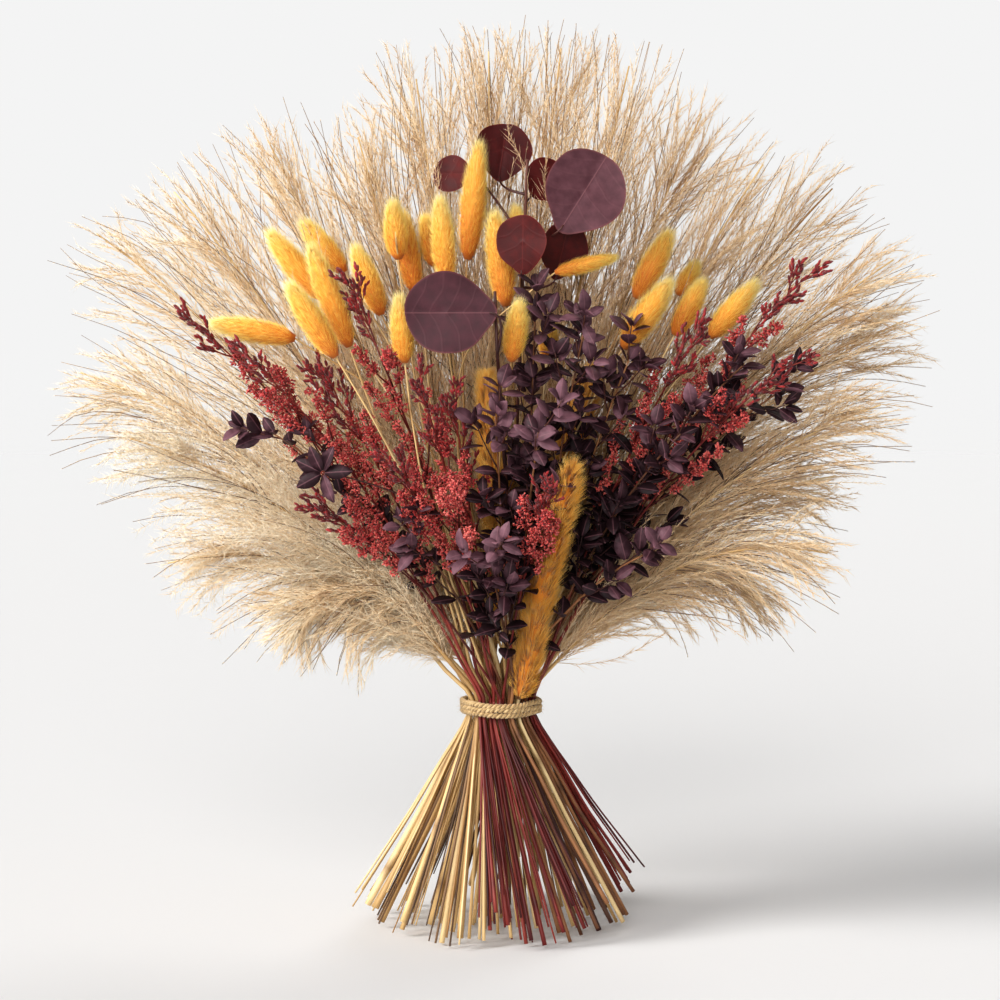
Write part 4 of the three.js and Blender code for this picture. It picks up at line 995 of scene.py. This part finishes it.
def add_blades(shell, roots, out, up, length, width, tone, fold, curl):
    """Pointed oval leaves: the width is a sine arch along the blade, its halves stand up from the rib by
    the fold, and the tip curls down with the square of the way along."""
    n = len(roots)
    side = unit(np.cross(out, up))
    face = np.cross(side, out)
    u = np.linspace(0, 1, BLADE_ROWS)
    v = np.array([-1, 0, 1])
    arch = np.sin(math.pi * np.clip(u, 0.03, 0.985) ** 0.9) ** 0.65
    across = (arch[:, None] * v[None])[None] * (width / 2)[:, None, None]
    lift = np.abs(across) * fold - curl * length[:, None, None] * (u ** 2)[None, :, None]
    along = (length[:, None] * u)[:, :, None] * np.ones(3)
    middle = (
        roots[:, None, None]
        + along[..., None] * out[:, None, None]
        + across[..., None] * side[:, None, None]
        + lift[..., None] * face[:, None, None]
    ).reshape(n, -1, 3)
    thick = BLADE_SKIN * face[:, None]
    flat = np.stack([across, along, 0 * across], axis=-1).reshape(n, -1, 3)
    faces = blade_net(BLADE_ROWS, 3)
    skins = np.concatenate([middle + thick, middle - thick], axis=1)
    shell.add(
        skins, faces, PLUM_LEAF, np.tile(np.repeat(u, 3), 2), tone, np.concatenate([flat, flat], axis=1),
        np.arange(len(faces)) < 8 * (BLADE_ROWS - 1))


def add_leaf_row(shell, rng, lines, each, first, opposite, front, shade, lean=1.1):
    """One leaf at each joint of the lines, each joint a quarter turn from the one before. A leaf in front
    of the stem is painted paler and one behind it darker, as painted shade deep in the foliage."""
    shape = (len(lines), each)
    share = first + (1 - first) * (np.arange(each) + 0.5) / each * np.ones((len(lines), 1))
    turn = 0.5 * math.pi * np.arange(each) + opposite + rng.uniform(-0.6, 0.6, shape)
    root, tangent, out = leave(lines, share, turn)
    angle = rng.normal(lean, 0.22, shape)[..., None]
    way = unit(tangent * np.cos(angle) + out * np.sin(angle)).reshape(-1, 3)
    sky = unit(tangent * 0.7 + np.array([0, -0.5, 0.5]) + rng.normal(0, 0.35, (*shape, 3)))
    length = (rng.uniform(12.5, 18.5, shape) * (1.08 - 0.3 * share)).ravel()
    width = length * rng.uniform(0.54, 0.68, len(length))
    root = (root + 1.5 * out).reshape(-1, 3)
    # Painted shade: a leaf behind the middle of its stem's head is darker, one in front of it paler.
    tone = np.clip(shade + (front - root[:, 1]) / 45 + rng.normal(0, 0.22, len(length)), 0, 1)
    fold, curl = rng.uniform(0.1, 0.4), rng.uniform(0.0, 0.18)
    add_blades(shell, root, way, sky.reshape(-1, 3), length, width, tone, fold, curl)


def add_foliage(shell, stem, rng, twigs, gap, tone):
    """A leafy stem: forked twigs with leaves in opposite pairs and a whorl at each end."""
    head = head_line(stem)
    side, share = branch_off(head, rng, twigs, 0.6, lambda s: 32.0 * (1.1 - 0.45 * s), first=0.1, flat=0.3)
    add_tubes(shell, side, np.linspace(0.55, 0.32, 5)[None], 4, DARK_TWIG, 0.2, share)
    # The depth from which leaves are painted darker behind and paler in front, as painted shade.
    front = stem.head[:, 1].mean()
    for lines, pairs, first in ((head, int(span(head[0]) / gap), 0.1), (side, 2, 0.4)):
        for opposite in (0.0, math.pi):
            add_leaf_row(shell, rng, lines, pairs, first, opposite, front, tone)
    for lines in (head, side):
        for opposite in 2 * math.pi / 3 * np.arange(3):
            add_leaf_row(shell, rng, lines[:, -2:], 1, 0.9, opposite, front, tone, lean=0.75)


def add_round_leaf(shell, line, middle, width, faces, point, finish, tone):
    """A broad leaf: rings from its middle over the rim and back. It is round, but drawn out to a point
    where its stalk joins it, cupped along its rib, and waved at its rim."""
    face = unit(np.array(faces, float))
    level = length_of(line[:, :2] - middle[:2])
    nearest = line[np.argmin(np.abs(line[:, 2] - middle[2] + LEAF_CLIMB * level) + 0.3 * level)]
    back = unit(point - face * (point @ face))
    side = np.cross(face, back)
    rings, corners = 12, 48
    half = np.append(np.linspace(0.08, 0.97, rings - 2), [0.993, 1])
    reach = np.concatenate([half, half[::-1]])[:, None]
    skin = np.concatenate([np.linspace(0.3, 0.12, rings), np.linspace(-0.12, -0.3, rings)])[:, None]
    turn = 2 * math.pi * np.arange(corners) / corners
    turn = (turn - 0.35 * np.sin(turn))[None]
    drawn = 0.2 * np.exp(-(np.minimum(turn, 2 * math.pi - turn) / 0.34) ** 2)
    radius = width / 2 * (0.97 + drawn + 0.02 * np.sin(2 * turn + tone * 9) + 0.012 * np.sin(5 * turn))
    cup = 0.07 * np.sin(turn) ** 2 * reach ** 2 - 0.05 * np.cos(turn) * np.abs(np.cos(turn)) * reach ** 2
    wave = width * (cup + 0.016 * np.sin(4 * turn + tone * 7) * reach ** 4)
    rib = -width * 0.014 * np.exp(-(np.sin(turn) * reach * 9) ** 2)
    high = (skin + wave + rib)[..., None]
    x, y = (radius * reach * np.cos(turn))[..., None], (radius * reach * np.sin(turn))[..., None]
    wall = (middle + x * back + y * side + high * face).reshape(-1, 3)
    poles = middle + np.array([[0.3], [-0.3]]) * face
    flat = np.concatenate([y, x, 0 * x], axis=-1).reshape(-1, 3)
    spread = np.append(np.repeat(reach, corners), [0, 0])
    shell.add(
        np.vstack([wall, poles])[None], tube_net(2 * rings, corners)[:, ::-1], finish,
        spread, tone, np.vstack([flat, np.zeros((2, 3))]))
    stalk = bezier(nearest, middle + back * (width * 0.6 + 6), middle + back * width * 0.5, 8)
    add_tubes(shell, stalk[None], np.linspace(0.95, 0.45, 9)[None], 8, DARK_TWIG, 0.2, tone)


def add_leaf_cluster(shell, rng, line, middle, width):
    """Young leaves in a fan at the end of a long thin stalk that rises from low on the stem."""
    root = line[np.argmin(np.abs(line[:, 2] - middle[2] + 60))]
    stalk = bezier(root, middle + [0.45 * (root[0] - middle[0]), -4, -12], middle + [4, 0, -6], 10)
    add_tubes(shell, stalk[None], np.linspace(0.8, 0.4, 11)[None], 7, DARK_TWIG, 0.2, 0.4)
    turn = np.array([-2.4, -1.2, -0.3, 0.7, 1.7, 2.6])
    out = np.column_stack([np.sin(turn), rng.uniform(-0.5, 0.1, 6), np.cos(turn)]) + [-0.3, 0, 0.2]
    face = unit(np.array([0, -1, 0.3]) + rng.normal(0, 0.3, (6, 3)))
    length = width * rng.uniform(0.5, 0.66, 6)
    tone = rng.uniform(0.1, 0.7, 6)
    add_blades(shell, stalk[-1] + 1.5 * unit(out), unit(out), face, length, 0.55 * length, tone, 0.25, 0.1)


# ---------------------------------------------------------------- twine

def waist_outline(stems, corners):
    """Distance from the axis to the tight band round all stems, at each angle: the least, over the
    directions within a quarter turn, of how far the stems reach that way over the cosine between them."""
    angle = 2 * math.pi * np.arange(corners) / corners
    places = np.array([stem.waist for stem in stems])
    radius = np.array([stem.radius for stem in stems])
    look = np.stack([np.cos(angle), np.sin(angle)])
    reach = (places @ look + radius[:, None]).max(axis=0)
    between = np.cos(angle[:, None] - angle[None])
    reach = reach[None] / np.maximum(between, BAND_COSINE)
    return np.where(between > BAND_COSINE, reach, np.inf).min(axis=1)


def add_twine(shell, stems, rng):
    """Three turns of two plies: each ply's middle circles the turn's own middle as it runs round the
    waist, half a turn from the other. Loose fibres stand off each turn."""
    band = waist_outline(stems, TWINE_CORNERS)
    band = np.convolve(np.concatenate([band[-9:], band, band[:9]]), np.ones(19) / 19, mode="valid")
    angle = 2 * math.pi * np.arange(TWINE_CORNERS) / TWINE_CORNERS
    radial = np.column_stack([np.cos(angle), np.sin(angle), 0 * angle])
    ply = TWINE_THICKNESS * PLY_OUT
    for turn in range(TWINE_TURNS):
        level = TIE_HEIGHT + (turn - (TWINE_TURNS - 1) / 2) * TWINE_THICKNESS * TWINE_PITCH
        start = rng.uniform(0, 6)
        wobble = 0.35 * np.sin(3 * angle + start) + 0.2 * np.sin(7 * angle + 2 * start)
        for side in (0, math.pi):
            phase = TWINE_TWISTS * angle + side + start
            out = band + TWINE_THICKNESS / 2 + 0.2 + ply * np.cos(phase)
            line = out[:, None] * radial
            line[:, 2] = level + wobble + ply * np.sin(phase)
            thick = TWINE_THICKNESS * PLY_RADIUS * (1 + 0.06 * np.sin(31 * angle + start))
            add_ring(shell, line, thick, 8, JUTE, rng.uniform(0, 1))
        fuzz = rng.integers(0, TWINE_CORNERS, TWINE_FUZZ)
        root = radial[fuzz] * (band[fuzz] + TWINE_THICKNESS / 2 + 1.2)[:, None] + np.array([0, 0, level])
        root = root + rng.normal(0, 0.6, (TWINE_FUZZ, 3))
        way = radial[fuzz] * 0.5 + rng.normal(0, 1, (TWINE_FUZZ, 3))
        tips = root + unit(way) * rng.uniform(1.5, 4.5, TWINE_FUZZ)[:, None]
        add_hairs(shell, root, tips, 0.1, JUTE, rng.uniform(0.4, 1, TWINE_FUZZ))


# ---------------------------------------------------------------- finishes

def colour(red, green, blue):
    """A colour given as it looks on a screen, 0 to 255, as the renderer's linear one."""
    shades = (c / 255 for c in (red, green, blue))
    return *(((c + 0.055) / 1.055) ** 2.4 if c > 0.04 else c / 12.92 for c in shades), 1.0


def operator(operation, swapped=False):
    """A sum of a shader value and another one or a number, as one of its nodes."""
    def work(self, other):
        first, second = (other, self) if swapped else (self, other)
        return self.finish.node("ShaderNodeMath", {"operation": operation}, {0: first, 1: second})

    return work


class Socket:
    """A shader value that can stand in a sum."""

    def __init__(self, finish, socket):
        self.finish = finish
        self.socket = socket

    __add__ = __radd__ = operator("ADD")
    __sub__ = operator("SUBTRACT")
    __rsub__ = operator("SUBTRACT", swapped=True)
    __mul__ = __rmul__ = operator("MULTIPLY")
    __truediv__ = operator("DIVIDE")
    __rtruediv__ = operator("DIVIDE", swapped=True)

    def clamped(self):
        """The value kept between 0 and 1."""
        return self.finish.node("ShaderNodeClamp", {}, {"Value": self})


def set_stops(ramp, stops):
    """Sets a ramp's stops, given as places with colours."""
    while len(ramp.elements) < len(stops):
        ramp.elements.new(0.5)
    for element, (place, shade) in zip(ramp.elements, stops):
        element.position = place
        element.color = shade


class Finish:
    """A material on one shader, built from nodes."""

    def __init__(self, name, **constants):
        self.material = bpy.data.materials.new(name)
        self.material.use_nodes = True
        self.tree = self.material.node_tree
        self.tree.nodes.clear()
        self.shader = self.tree.nodes.new("ShaderNodeBsdfPrincipled")
        output = self.tree.nodes.new("ShaderNodeOutputMaterial")
        self.tree.links.new(self.shader.outputs[0], output.inputs["Surface"])
        for key, value in constants.items():
            self.shader.inputs[key.replace("_", " ")].default_value = value

    def feed(self, socket, value):
        """Links a value to a socket, or sets it there."""
        if isinstance(value, Socket):
            self.tree.links.new(value.socket, socket)
        else:
            socket.default_value = value

    def node(self, kind, settings, inputs, output=0):
        """A new node with its settings, then its inputs, and the socket that comes out."""
        made = self.tree.nodes.new(kind)
        for name, value in settings.items():
            if name == "stops":
                set_stops(made.color_ramp, value)
            else:
                setattr(made, name, value)
        for key, value in inputs.items():
            self.feed(made.inputs[key], value)
        return Socket(self, made.outputs[output])

    def attribute(self, name, output="Fac"):
        return self.node("ShaderNodeAttribute", {"attribute_name": name}, {}, output)

    def noise(self, vector, scale, detail=2.0):
        inputs = {"Vector": vector, "Scale": scale, "Detail": detail}
        return self.node("ShaderNodeTexNoise", {}, inputs, "Fac")

    def ramp(self, value, stops):
        """Screen colours by a value, given as a place for each."""
        linear = [(place, colour(*shade)) for place, shade in stops.items()]
        return self.node("ShaderNodeValToRGB", {"stops": linear}, {"Fac": value}, "Color")

    def blend(self, factor, first, second):
        settings = {"data_type": "RGBA", "blend_type": "MIX", "clamp_factor": True}
        return self.node("ShaderNodeMix", settings, {0: factor, 6: first, 7: second}, 2)

    def place(self):
        return self.node("ShaderNodeTexCoord", {}, {}, "Object")

    def stretched(self, vector, scale):
        return self.node("ShaderNodeMapping", {}, {"Vector": vector, "Scale": scale})

    def bump(self, height, strength, distance):
        inputs = {"Height": height, "Strength": strength, "Distance": distance}
        self.feed(self.shader.inputs["Normal"], self.node("ShaderNodeBump", {}, inputs))

    def paint(self, shade, roughness=None):
        self.feed(self.shader.inputs["Base Color"], shade)
        if roughness is not None:
            self.feed(self.shader.inputs["Roughness"], roughness)
        return self.material


def plume_finish(name, deep, middle, pale, tipped=0.3):
    """Dry hair: deep at the root and pale at the tip by `tipped`, the deep roots being painted shade inside
    the plume, each hair with its own tone, in soft patches."""
    finish = Finish(name, Roughness=0.75, Sheen_Weight=0.25)
    along, tone = finish.attribute("along"), finish.attribute("tone")
    patch = finish.noise(finish.place(), 22.0)
    value = (tone * (1 - tipped) + along * tipped + (patch - 0.5) * 0.5).clamped()
    return finish.paint(finish.ramp(value, {0: deep, 0.5: middle, 1: pale}))


def stalk_finish(name, deep, middle, pale, joint):
    """A dry stem: long fibres, mottled patches, and darker joints and ends."""
    finish = Finish(name)
    grain = finish.attribute("grain", "Vector")
    tone, along = finish.attribute("tone"), finish.attribute("along")
    fibre = finish.noise(finish.stretched(grain, (1500, 1500, 14)), 1.0, 3.0)
    patch = finish.noise(finish.stretched(finish.place(), (60, 60, 22)), 1.0)
    value = (fibre * 0.5 + patch * 0.5 + (tone - 0.5) * 0.55).clamped()
    body = finish.ramp(value, {0.2: deep, 0.5: middle, 0.85: pale})
    finish.bump(fibre, 0.35, 0.0004)
    return finish.paint(finish.blend((along * 0.8).clamped(), body, colour(*joint)), 0.42 + fibre * 0.25)


def tail_finish(name, deep, middle, pale, tip):
    """A bunny tail's hair: orange at its base, yellow above, and pale where each hair ends. The orange low
    on the tail and at the hair roots is partly its own colour and partly painted shade, and the pale ends
    are partly painted highlight.
    """
    finish = Finish(name, Roughness=0.7, Sheen_Weight=0.15)
    along, tone = finish.attribute("along"), finish.attribute("tone")
    value = (tone * 0.72 + along * 0.38 - 0.05).clamped()
    return finish.paint(finish.ramp(value, {0: deep, 0.32: middle, 0.68: pale, 1: tip}))


def bud_finish():
    """Dry florets: dark red buds to coral ones, with crumbly relief. On the heaped florets the tone also
    carries painted shade near the twig and painted highlight far out.
    """
    finish = Finish("red_bud", Roughness=0.6, Sheen_Weight=0.2)
    tone = finish.attribute("tone")
    crumb = finish.noise(finish.place(), 900.0, 3.0)
    value = (tone * 0.8 + (crumb - 0.5) * 0.7 + 0.05).clamped()
    finish.bump(crumb, 0.6, 0.0006)
    return finish.paint(finish.ramp(
        value, {0: (76, 4, 6), 0.3: (136, 13, 17), 0.64: (188, 42, 42), 1: (238, 132, 118)}))


def leaf_finish(name, deep, middle, pale, rim, vein, rimmed=0.5):
    """A dry leaf: mottled, with a pale rib and side veins that fork off it, and a paler rim."""
    finish = Finish(name, Specular_IOR_Level=0.3)
    grain = finish.attribute("grain", "Vector")
    tone = finish.attribute("tone")
    along = finish.attribute("along")
    parts = finish.node("ShaderNodeSeparateXYZ", {}, {"Vector": grain}, "X")
    lengthways = Socket(finish, parts.socket.node.outputs["Y"])
    across = finish.node("ShaderNodeMath", {"operation": "ABSOLUTE"}, {0: parts})
    rib = (1 - across * 1900).clamped()
    drift = finish.noise(finish.place(), 60.0, 1.0)
    slant = (lengthways - across * 0.75 + across * across * 14 + drift * 0.006) * 620
    stripe = finish.node("ShaderNodeMath", {"operation": "SINE"}, {0: slant})
    side_vein = ((stripe - 0.86) * 6).clamped()
    mottle = finish.noise(finish.place(), 160.0, 4.0)
    value = (mottle * 0.7 + tone * 0.6 - 0.15).clamped()
    body = finish.ramp(value, {0: deep, 0.5: middle, 1: pale})
    veined = finish.blend((rib * 0.6 + side_vein * 0.1).clamped(), body, colour(*vein))
    edge = ((along - 0.95) * 18).clamped()
    finish.bump(rib * 0.6 + side_vein * 0.4 + mottle * 0.5, 0.35, 0.0005)
    return finish.paint(finish.blend(edge * rimmed, veined, colour(*rim)), 0.48 + mottle * 0.25)


def twine_finish():
    """Jute: fibres that run along each ply, tan with paler and darker threads."""
    finish = Finish("jute", Roughness=0.85, Sheen_Weight=0.3)
    grain = finish.attribute("grain", "Vector")
    tone = finish.attribute("tone")
    fibre = finish.noise(finish.stretched(grain, (2600, 2600, 260)), 1.0, 3.0)
    patch = finish.noise(finish.place(), 120.0)
    value = (fibre * 0.7 + patch * 0.3 + (tone - 0.5) * 0.2).clamped()
    finish.bump(fibre, 0.8, 0.0006)
    return finish.paint(finish.ramp(value, {0.2: (118, 90, 56), 0.5: (188, 158, 112), 0.8: (226, 200, 154)}))


HAIR = plume_finish("pampas_hair", (186, 138, 88), (240, 209, 164), (255, 248, 228))
WISP = plume_finish("pampas_wisp", (74, 52, 34), (108, 80, 54), (156, 122, 86))
OCHRE_HAIR = plume_finish("ochre_hair", (146, 90, 26), (234, 168, 62), (255, 220, 128), 0.6)
STRAW = stalk_finish("straw", (152, 114, 68), (208, 174, 120), (234, 208, 160), (120, 84, 48))
BROWN = stalk_finish("brown_twig", (74, 44, 28), (124, 80, 52), (164, 116, 76), (60, 36, 24))
RED_TWIG = stalk_finish("red_twig", (56, 10, 10), (106, 26, 24), (148, 62, 50), (60, 15, 14))
DARK_TWIG = stalk_finish("dark_twig", (40, 16, 16), (72, 34, 30), (108, 64, 50), (34, 16, 14))
TAIL = tail_finish("bunny_tail_hair", (226, 138, 36), (248, 196, 78), (255, 222, 116), (255, 238, 170))
TAIL_CORE = tail_finish("bunny_tail_core", (196, 110, 26), (232, 164, 52), (248, 200, 92), (255, 222, 124))
BUD = bud_finish()
PLUM_LEAF = leaf_finish(
    "plum_leaf", (17, 7, 10), (54, 28, 36), (130, 92, 103), (130, 88, 96), (130, 90, 98), rimmed=0.15)
ROUND_LEAF = leaf_finish(
    "round_leaf", (42, 18, 24), (76, 40, 48), (110, 70, 78), (132, 76, 74), (126, 84, 88))
MAROON_LEAF = leaf_finish(
    "maroon_leaf", (38, 5, 6), (68, 11, 12), (102, 28, 26), (124, 44, 36), (96, 28, 26))
JUTE = twine_finish()


# ---------------------------------------------------------------- the pieces

TIE_AXIS = np.mean([list(corner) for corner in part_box("twine")], axis=0) * [1, 1, 0]
SHEAF = lay_out()


def dress(shell, node):
    """Makes a node's piece, which rides where the node rides and stands for it."""
    piece = shell.piece(node + "_dressed")
    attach(piece, "root")
    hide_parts(node)


def make(kind, seed, finishes, grow):
    """The dressed nodes of a kind, each grown stem by stem from its own draws."""
    nodes = [node for node in SHEAF if node.startswith(kind)]
    for number, node in enumerate(nodes, 1):
        rng = np.random.default_rng(seed + number)
        shell = Shell(finishes)
        for stem in SHEAF[node]:
            grow(shell, stem, rng, number)
        dress(shell, node)


def grow_pampas(shell, stem, rng, number):
    add_stalk(shell, stem, rng, STRAW)
    add_sheaths(shell, stem, rng, shell.finishes[rng.choice([1, 2])], 4)
    style = PLUME_STYLES[PLUME_OF.get(number, "fine")]
    add_plume(shell, stem, rng, style, PLUME_TONE_AND_LIGHT.get(number, 0.42))


def grow_bunny_tail(shell, stem, rng, number):
    add_stalk(shell, stem, rng, STRAW, joints=120.0, sides=7)
    add_tail(shell, stem, rng, TAIL_TONE[number - 1])


def grow_ochre_plume(shell, stem, rng, number):
    add_stalk(shell, stem, rng, STRAW)
    add_feather(shell, plume_axis(stem, OCHRE_FROM[number - 1]), stem.width / 2, rng)


def grow_red_spray(shell, stem, rng, number):
    add_stalk(shell, stem, rng, RED_TWIG, 0.4, joints=48.0, sides=7)
    add_sheaths(shell, stem, rng, RED_TWIG, 3)
    add_spray(shell, stem, rng)


def grow_foliage(shell, stem, rng, number):
    add_stalk(shell, stem, rng, BROWN, joints=34.0, sides=7)
    add_foliage(shell, stem, rng, *LEAFINESS[number - 1])


def grow_silver_dollar(shell, stem, rng, number):
    add_stalk(shell, stem, rng, DARK_TWIG, 0.9, joints=40.0, sides=8)
    line = smooth(np.vstack([stem.stalk, stem.head[1:]]), 3.0)
    for centre, width, *look in stem.leaves:
        if look:
            faces, point, finish = look
            leaf = {"round": ROUND_LEAF, "maroon": MAROON_LEAF}[finish]
            add_round_leaf(shell, line, seen(centre), width, faces, point, leaf, rng.uniform(0.3, 0.7))
        else:
            add_leaf_cluster(shell, rng, line, seen(centre), width)


def grow_straw(shell, stem, rng, number):
    add_stalk(shell, stem, rng, STRAW, 1.2)


def make_twine():
    shell = Shell([JUTE])
    stems = [stem for members in SHEAF.values() for stem in members]
    add_twine(shell, stems, np.random.default_rng(800))
    dress(shell, "twine")


# ---------------------------------------------------------------- studio

def make_stage():
    """A pale round floor that fades out, so that it has no edge: rings round the middle, their radius the
    square of their number."""
    rings, corners = 24, 64
    radius = FLOOR_RADIUS * (np.arange(1, rings + 1) / rings) ** 2
    x, y, z = np.eye(3)
    walls = (radius[:, None, None] * circle(x, y, corners)).reshape(-1, 3)
    points = np.vstack([walls, [0, 0, 0]]) - FLOOR_DROP * z
    inner = [(rings * corners, k, (k + 1) % corners) for k in range(corners)]
    mesh = bpy.data.meshes.new("studio_floor")
    mesh.from_pydata(points.tolist(), [], inner + wall_net(rings - 1, corners)[:, ::-1].tolist())
    finish = Finish("studio_paper", Roughness=0.95)
    away = finish.node("ShaderNodeVectorMath", {"operation": "LENGTH"}, {0: finish.place()}, "Value")
    fade = 1 - ((away - FLOOR_SOLID) / (FLOOR_RADIUS * FLOOR_GONE - FLOOR_SOLID)).clamped()
    finish.feed(finish.shader.inputs["Alpha"], fade * fade * (3 - 2 * fade))
    mesh.materials.append(finish.paint(colour(218, 218, 219)))
    floor = bpy.data.objects.new("studio_floor", mesh)
    bpy.context.scene.collection.objects.link(floor)


def make_world():
    """An even pale surround that is dimmer overhead, so that the lamps shape the sheaf."""
    world = bpy.data.worlds.new("studio")
    world.use_nodes = True
    nodes, links = world.node_tree.nodes, world.node_tree.links
    place = nodes.new("ShaderNodeTexCoord")
    parts = nodes.new("ShaderNodeSeparateXYZ")
    ramp = nodes.new("ShaderNodeValToRGB")
    set_stops(ramp.color_ramp, [(SURROUND_TOP, (*[SURROUND] * 3, 1)), (OVERHEAD_FROM, (*[OVERHEAD] * 3, 1))])
    links.new(place.outputs["Generated"], parts.inputs[0])
    links.new(parts.outputs["Z"], ramp.inputs["Fac"])
    links.new(ramp.outputs["Color"], nodes["Background"].inputs["Color"])
    bpy.context.scene.world = world


def aim(thing, target):
    """Turns a camera or light to look at a point."""
    way = target - np.array(thing.location)
    turn = math.atan2(way[0], way[1])
    tilt = math.atan2(way[2], math.hypot(way[0], way[1]))
    thing.rotation_euler = (math.pi / 2 + tilt, 0, -turn)


def add_sun(name, towards, width, strength, shade):
    """Even light from far off in the direction `towards`, softened by its width in degrees."""
    lamp = bpy.data.lights.new(name, "SUN")
    lamp.angle = math.radians(width)
    lamp.energy = strength
    lamp.color = shade
    thing = bpy.data.objects.new(name, lamp)
    bpy.context.scene.collection.objects.link(thing)
    thing.location = towards
    aim(thing, np.zeros(3))


def make_lights_and_camera():
    scene = bpy.context.scene
    add_sun("key", (-1.2, -0.55, 0.8), 28, 3.1, (1, 0.985, 0.96))
    add_sun("front", (-0.2, -1.0, 0.45), 40, 1.75, (1, 0.99, 0.975))
    add_sun("back", (0.5, 0.9, 0.8), 30, 0.75, (1, 0.99, 0.975))
    camera = bpy.data.objects.new("view", bpy.data.cameras.new("view"))
    scene.collection.objects.link(camera)
    nearer = math.sin(VIEW_TILT) * VIEW_AIM / VIEW_DISTANCE
    aim_height = TIE_HEIGHT + VIEW_AIM / (math.cos(VIEW_TILT) - nearer)
    target = TIE_AXIS + np.array([0, 0, aim_height * MM])
    back = np.array([0, -math.cos(VIEW_TILT), math.sin(VIEW_TILT)])
    camera.location = target + VIEW_DISTANCE * MM * back
    camera.data.lens = VIEW_LENS
    camera.data.sensor_width = SENSOR
    camera.data.clip_end = 30
    aim(camera, target)
    scene.camera = camera
    scene.view_settings.view_transform = "Standard"
    scene.view_settings.look = "Medium High Contrast"


make("pampas", 100, [HAIR, STRAW, WISP], grow_pampas)
make("bunny_tail", 200, [TAIL, STRAW, TAIL_CORE], grow_bunny_tail)
make("ochre_plume", 300, [OCHRE_HAIR, STRAW, TAIL_CORE], grow_ochre_plume)
make("red_spray", 400, [RED_TWIG, BUD], grow_red_spray)
make("plum_foliage", 500, [BROWN, PLUM_LEAF, DARK_TWIG], grow_foliage)
make("silver_dollar", 600, [DARK_TWIG, ROUND_LEAF, MAROON_LEAF, PLUM_LEAF], grow_silver_dollar)
make("straw", 700, [STRAW], grow_straw)
make_twine()
make_stage()
make_world()
make_lights_and_camera()
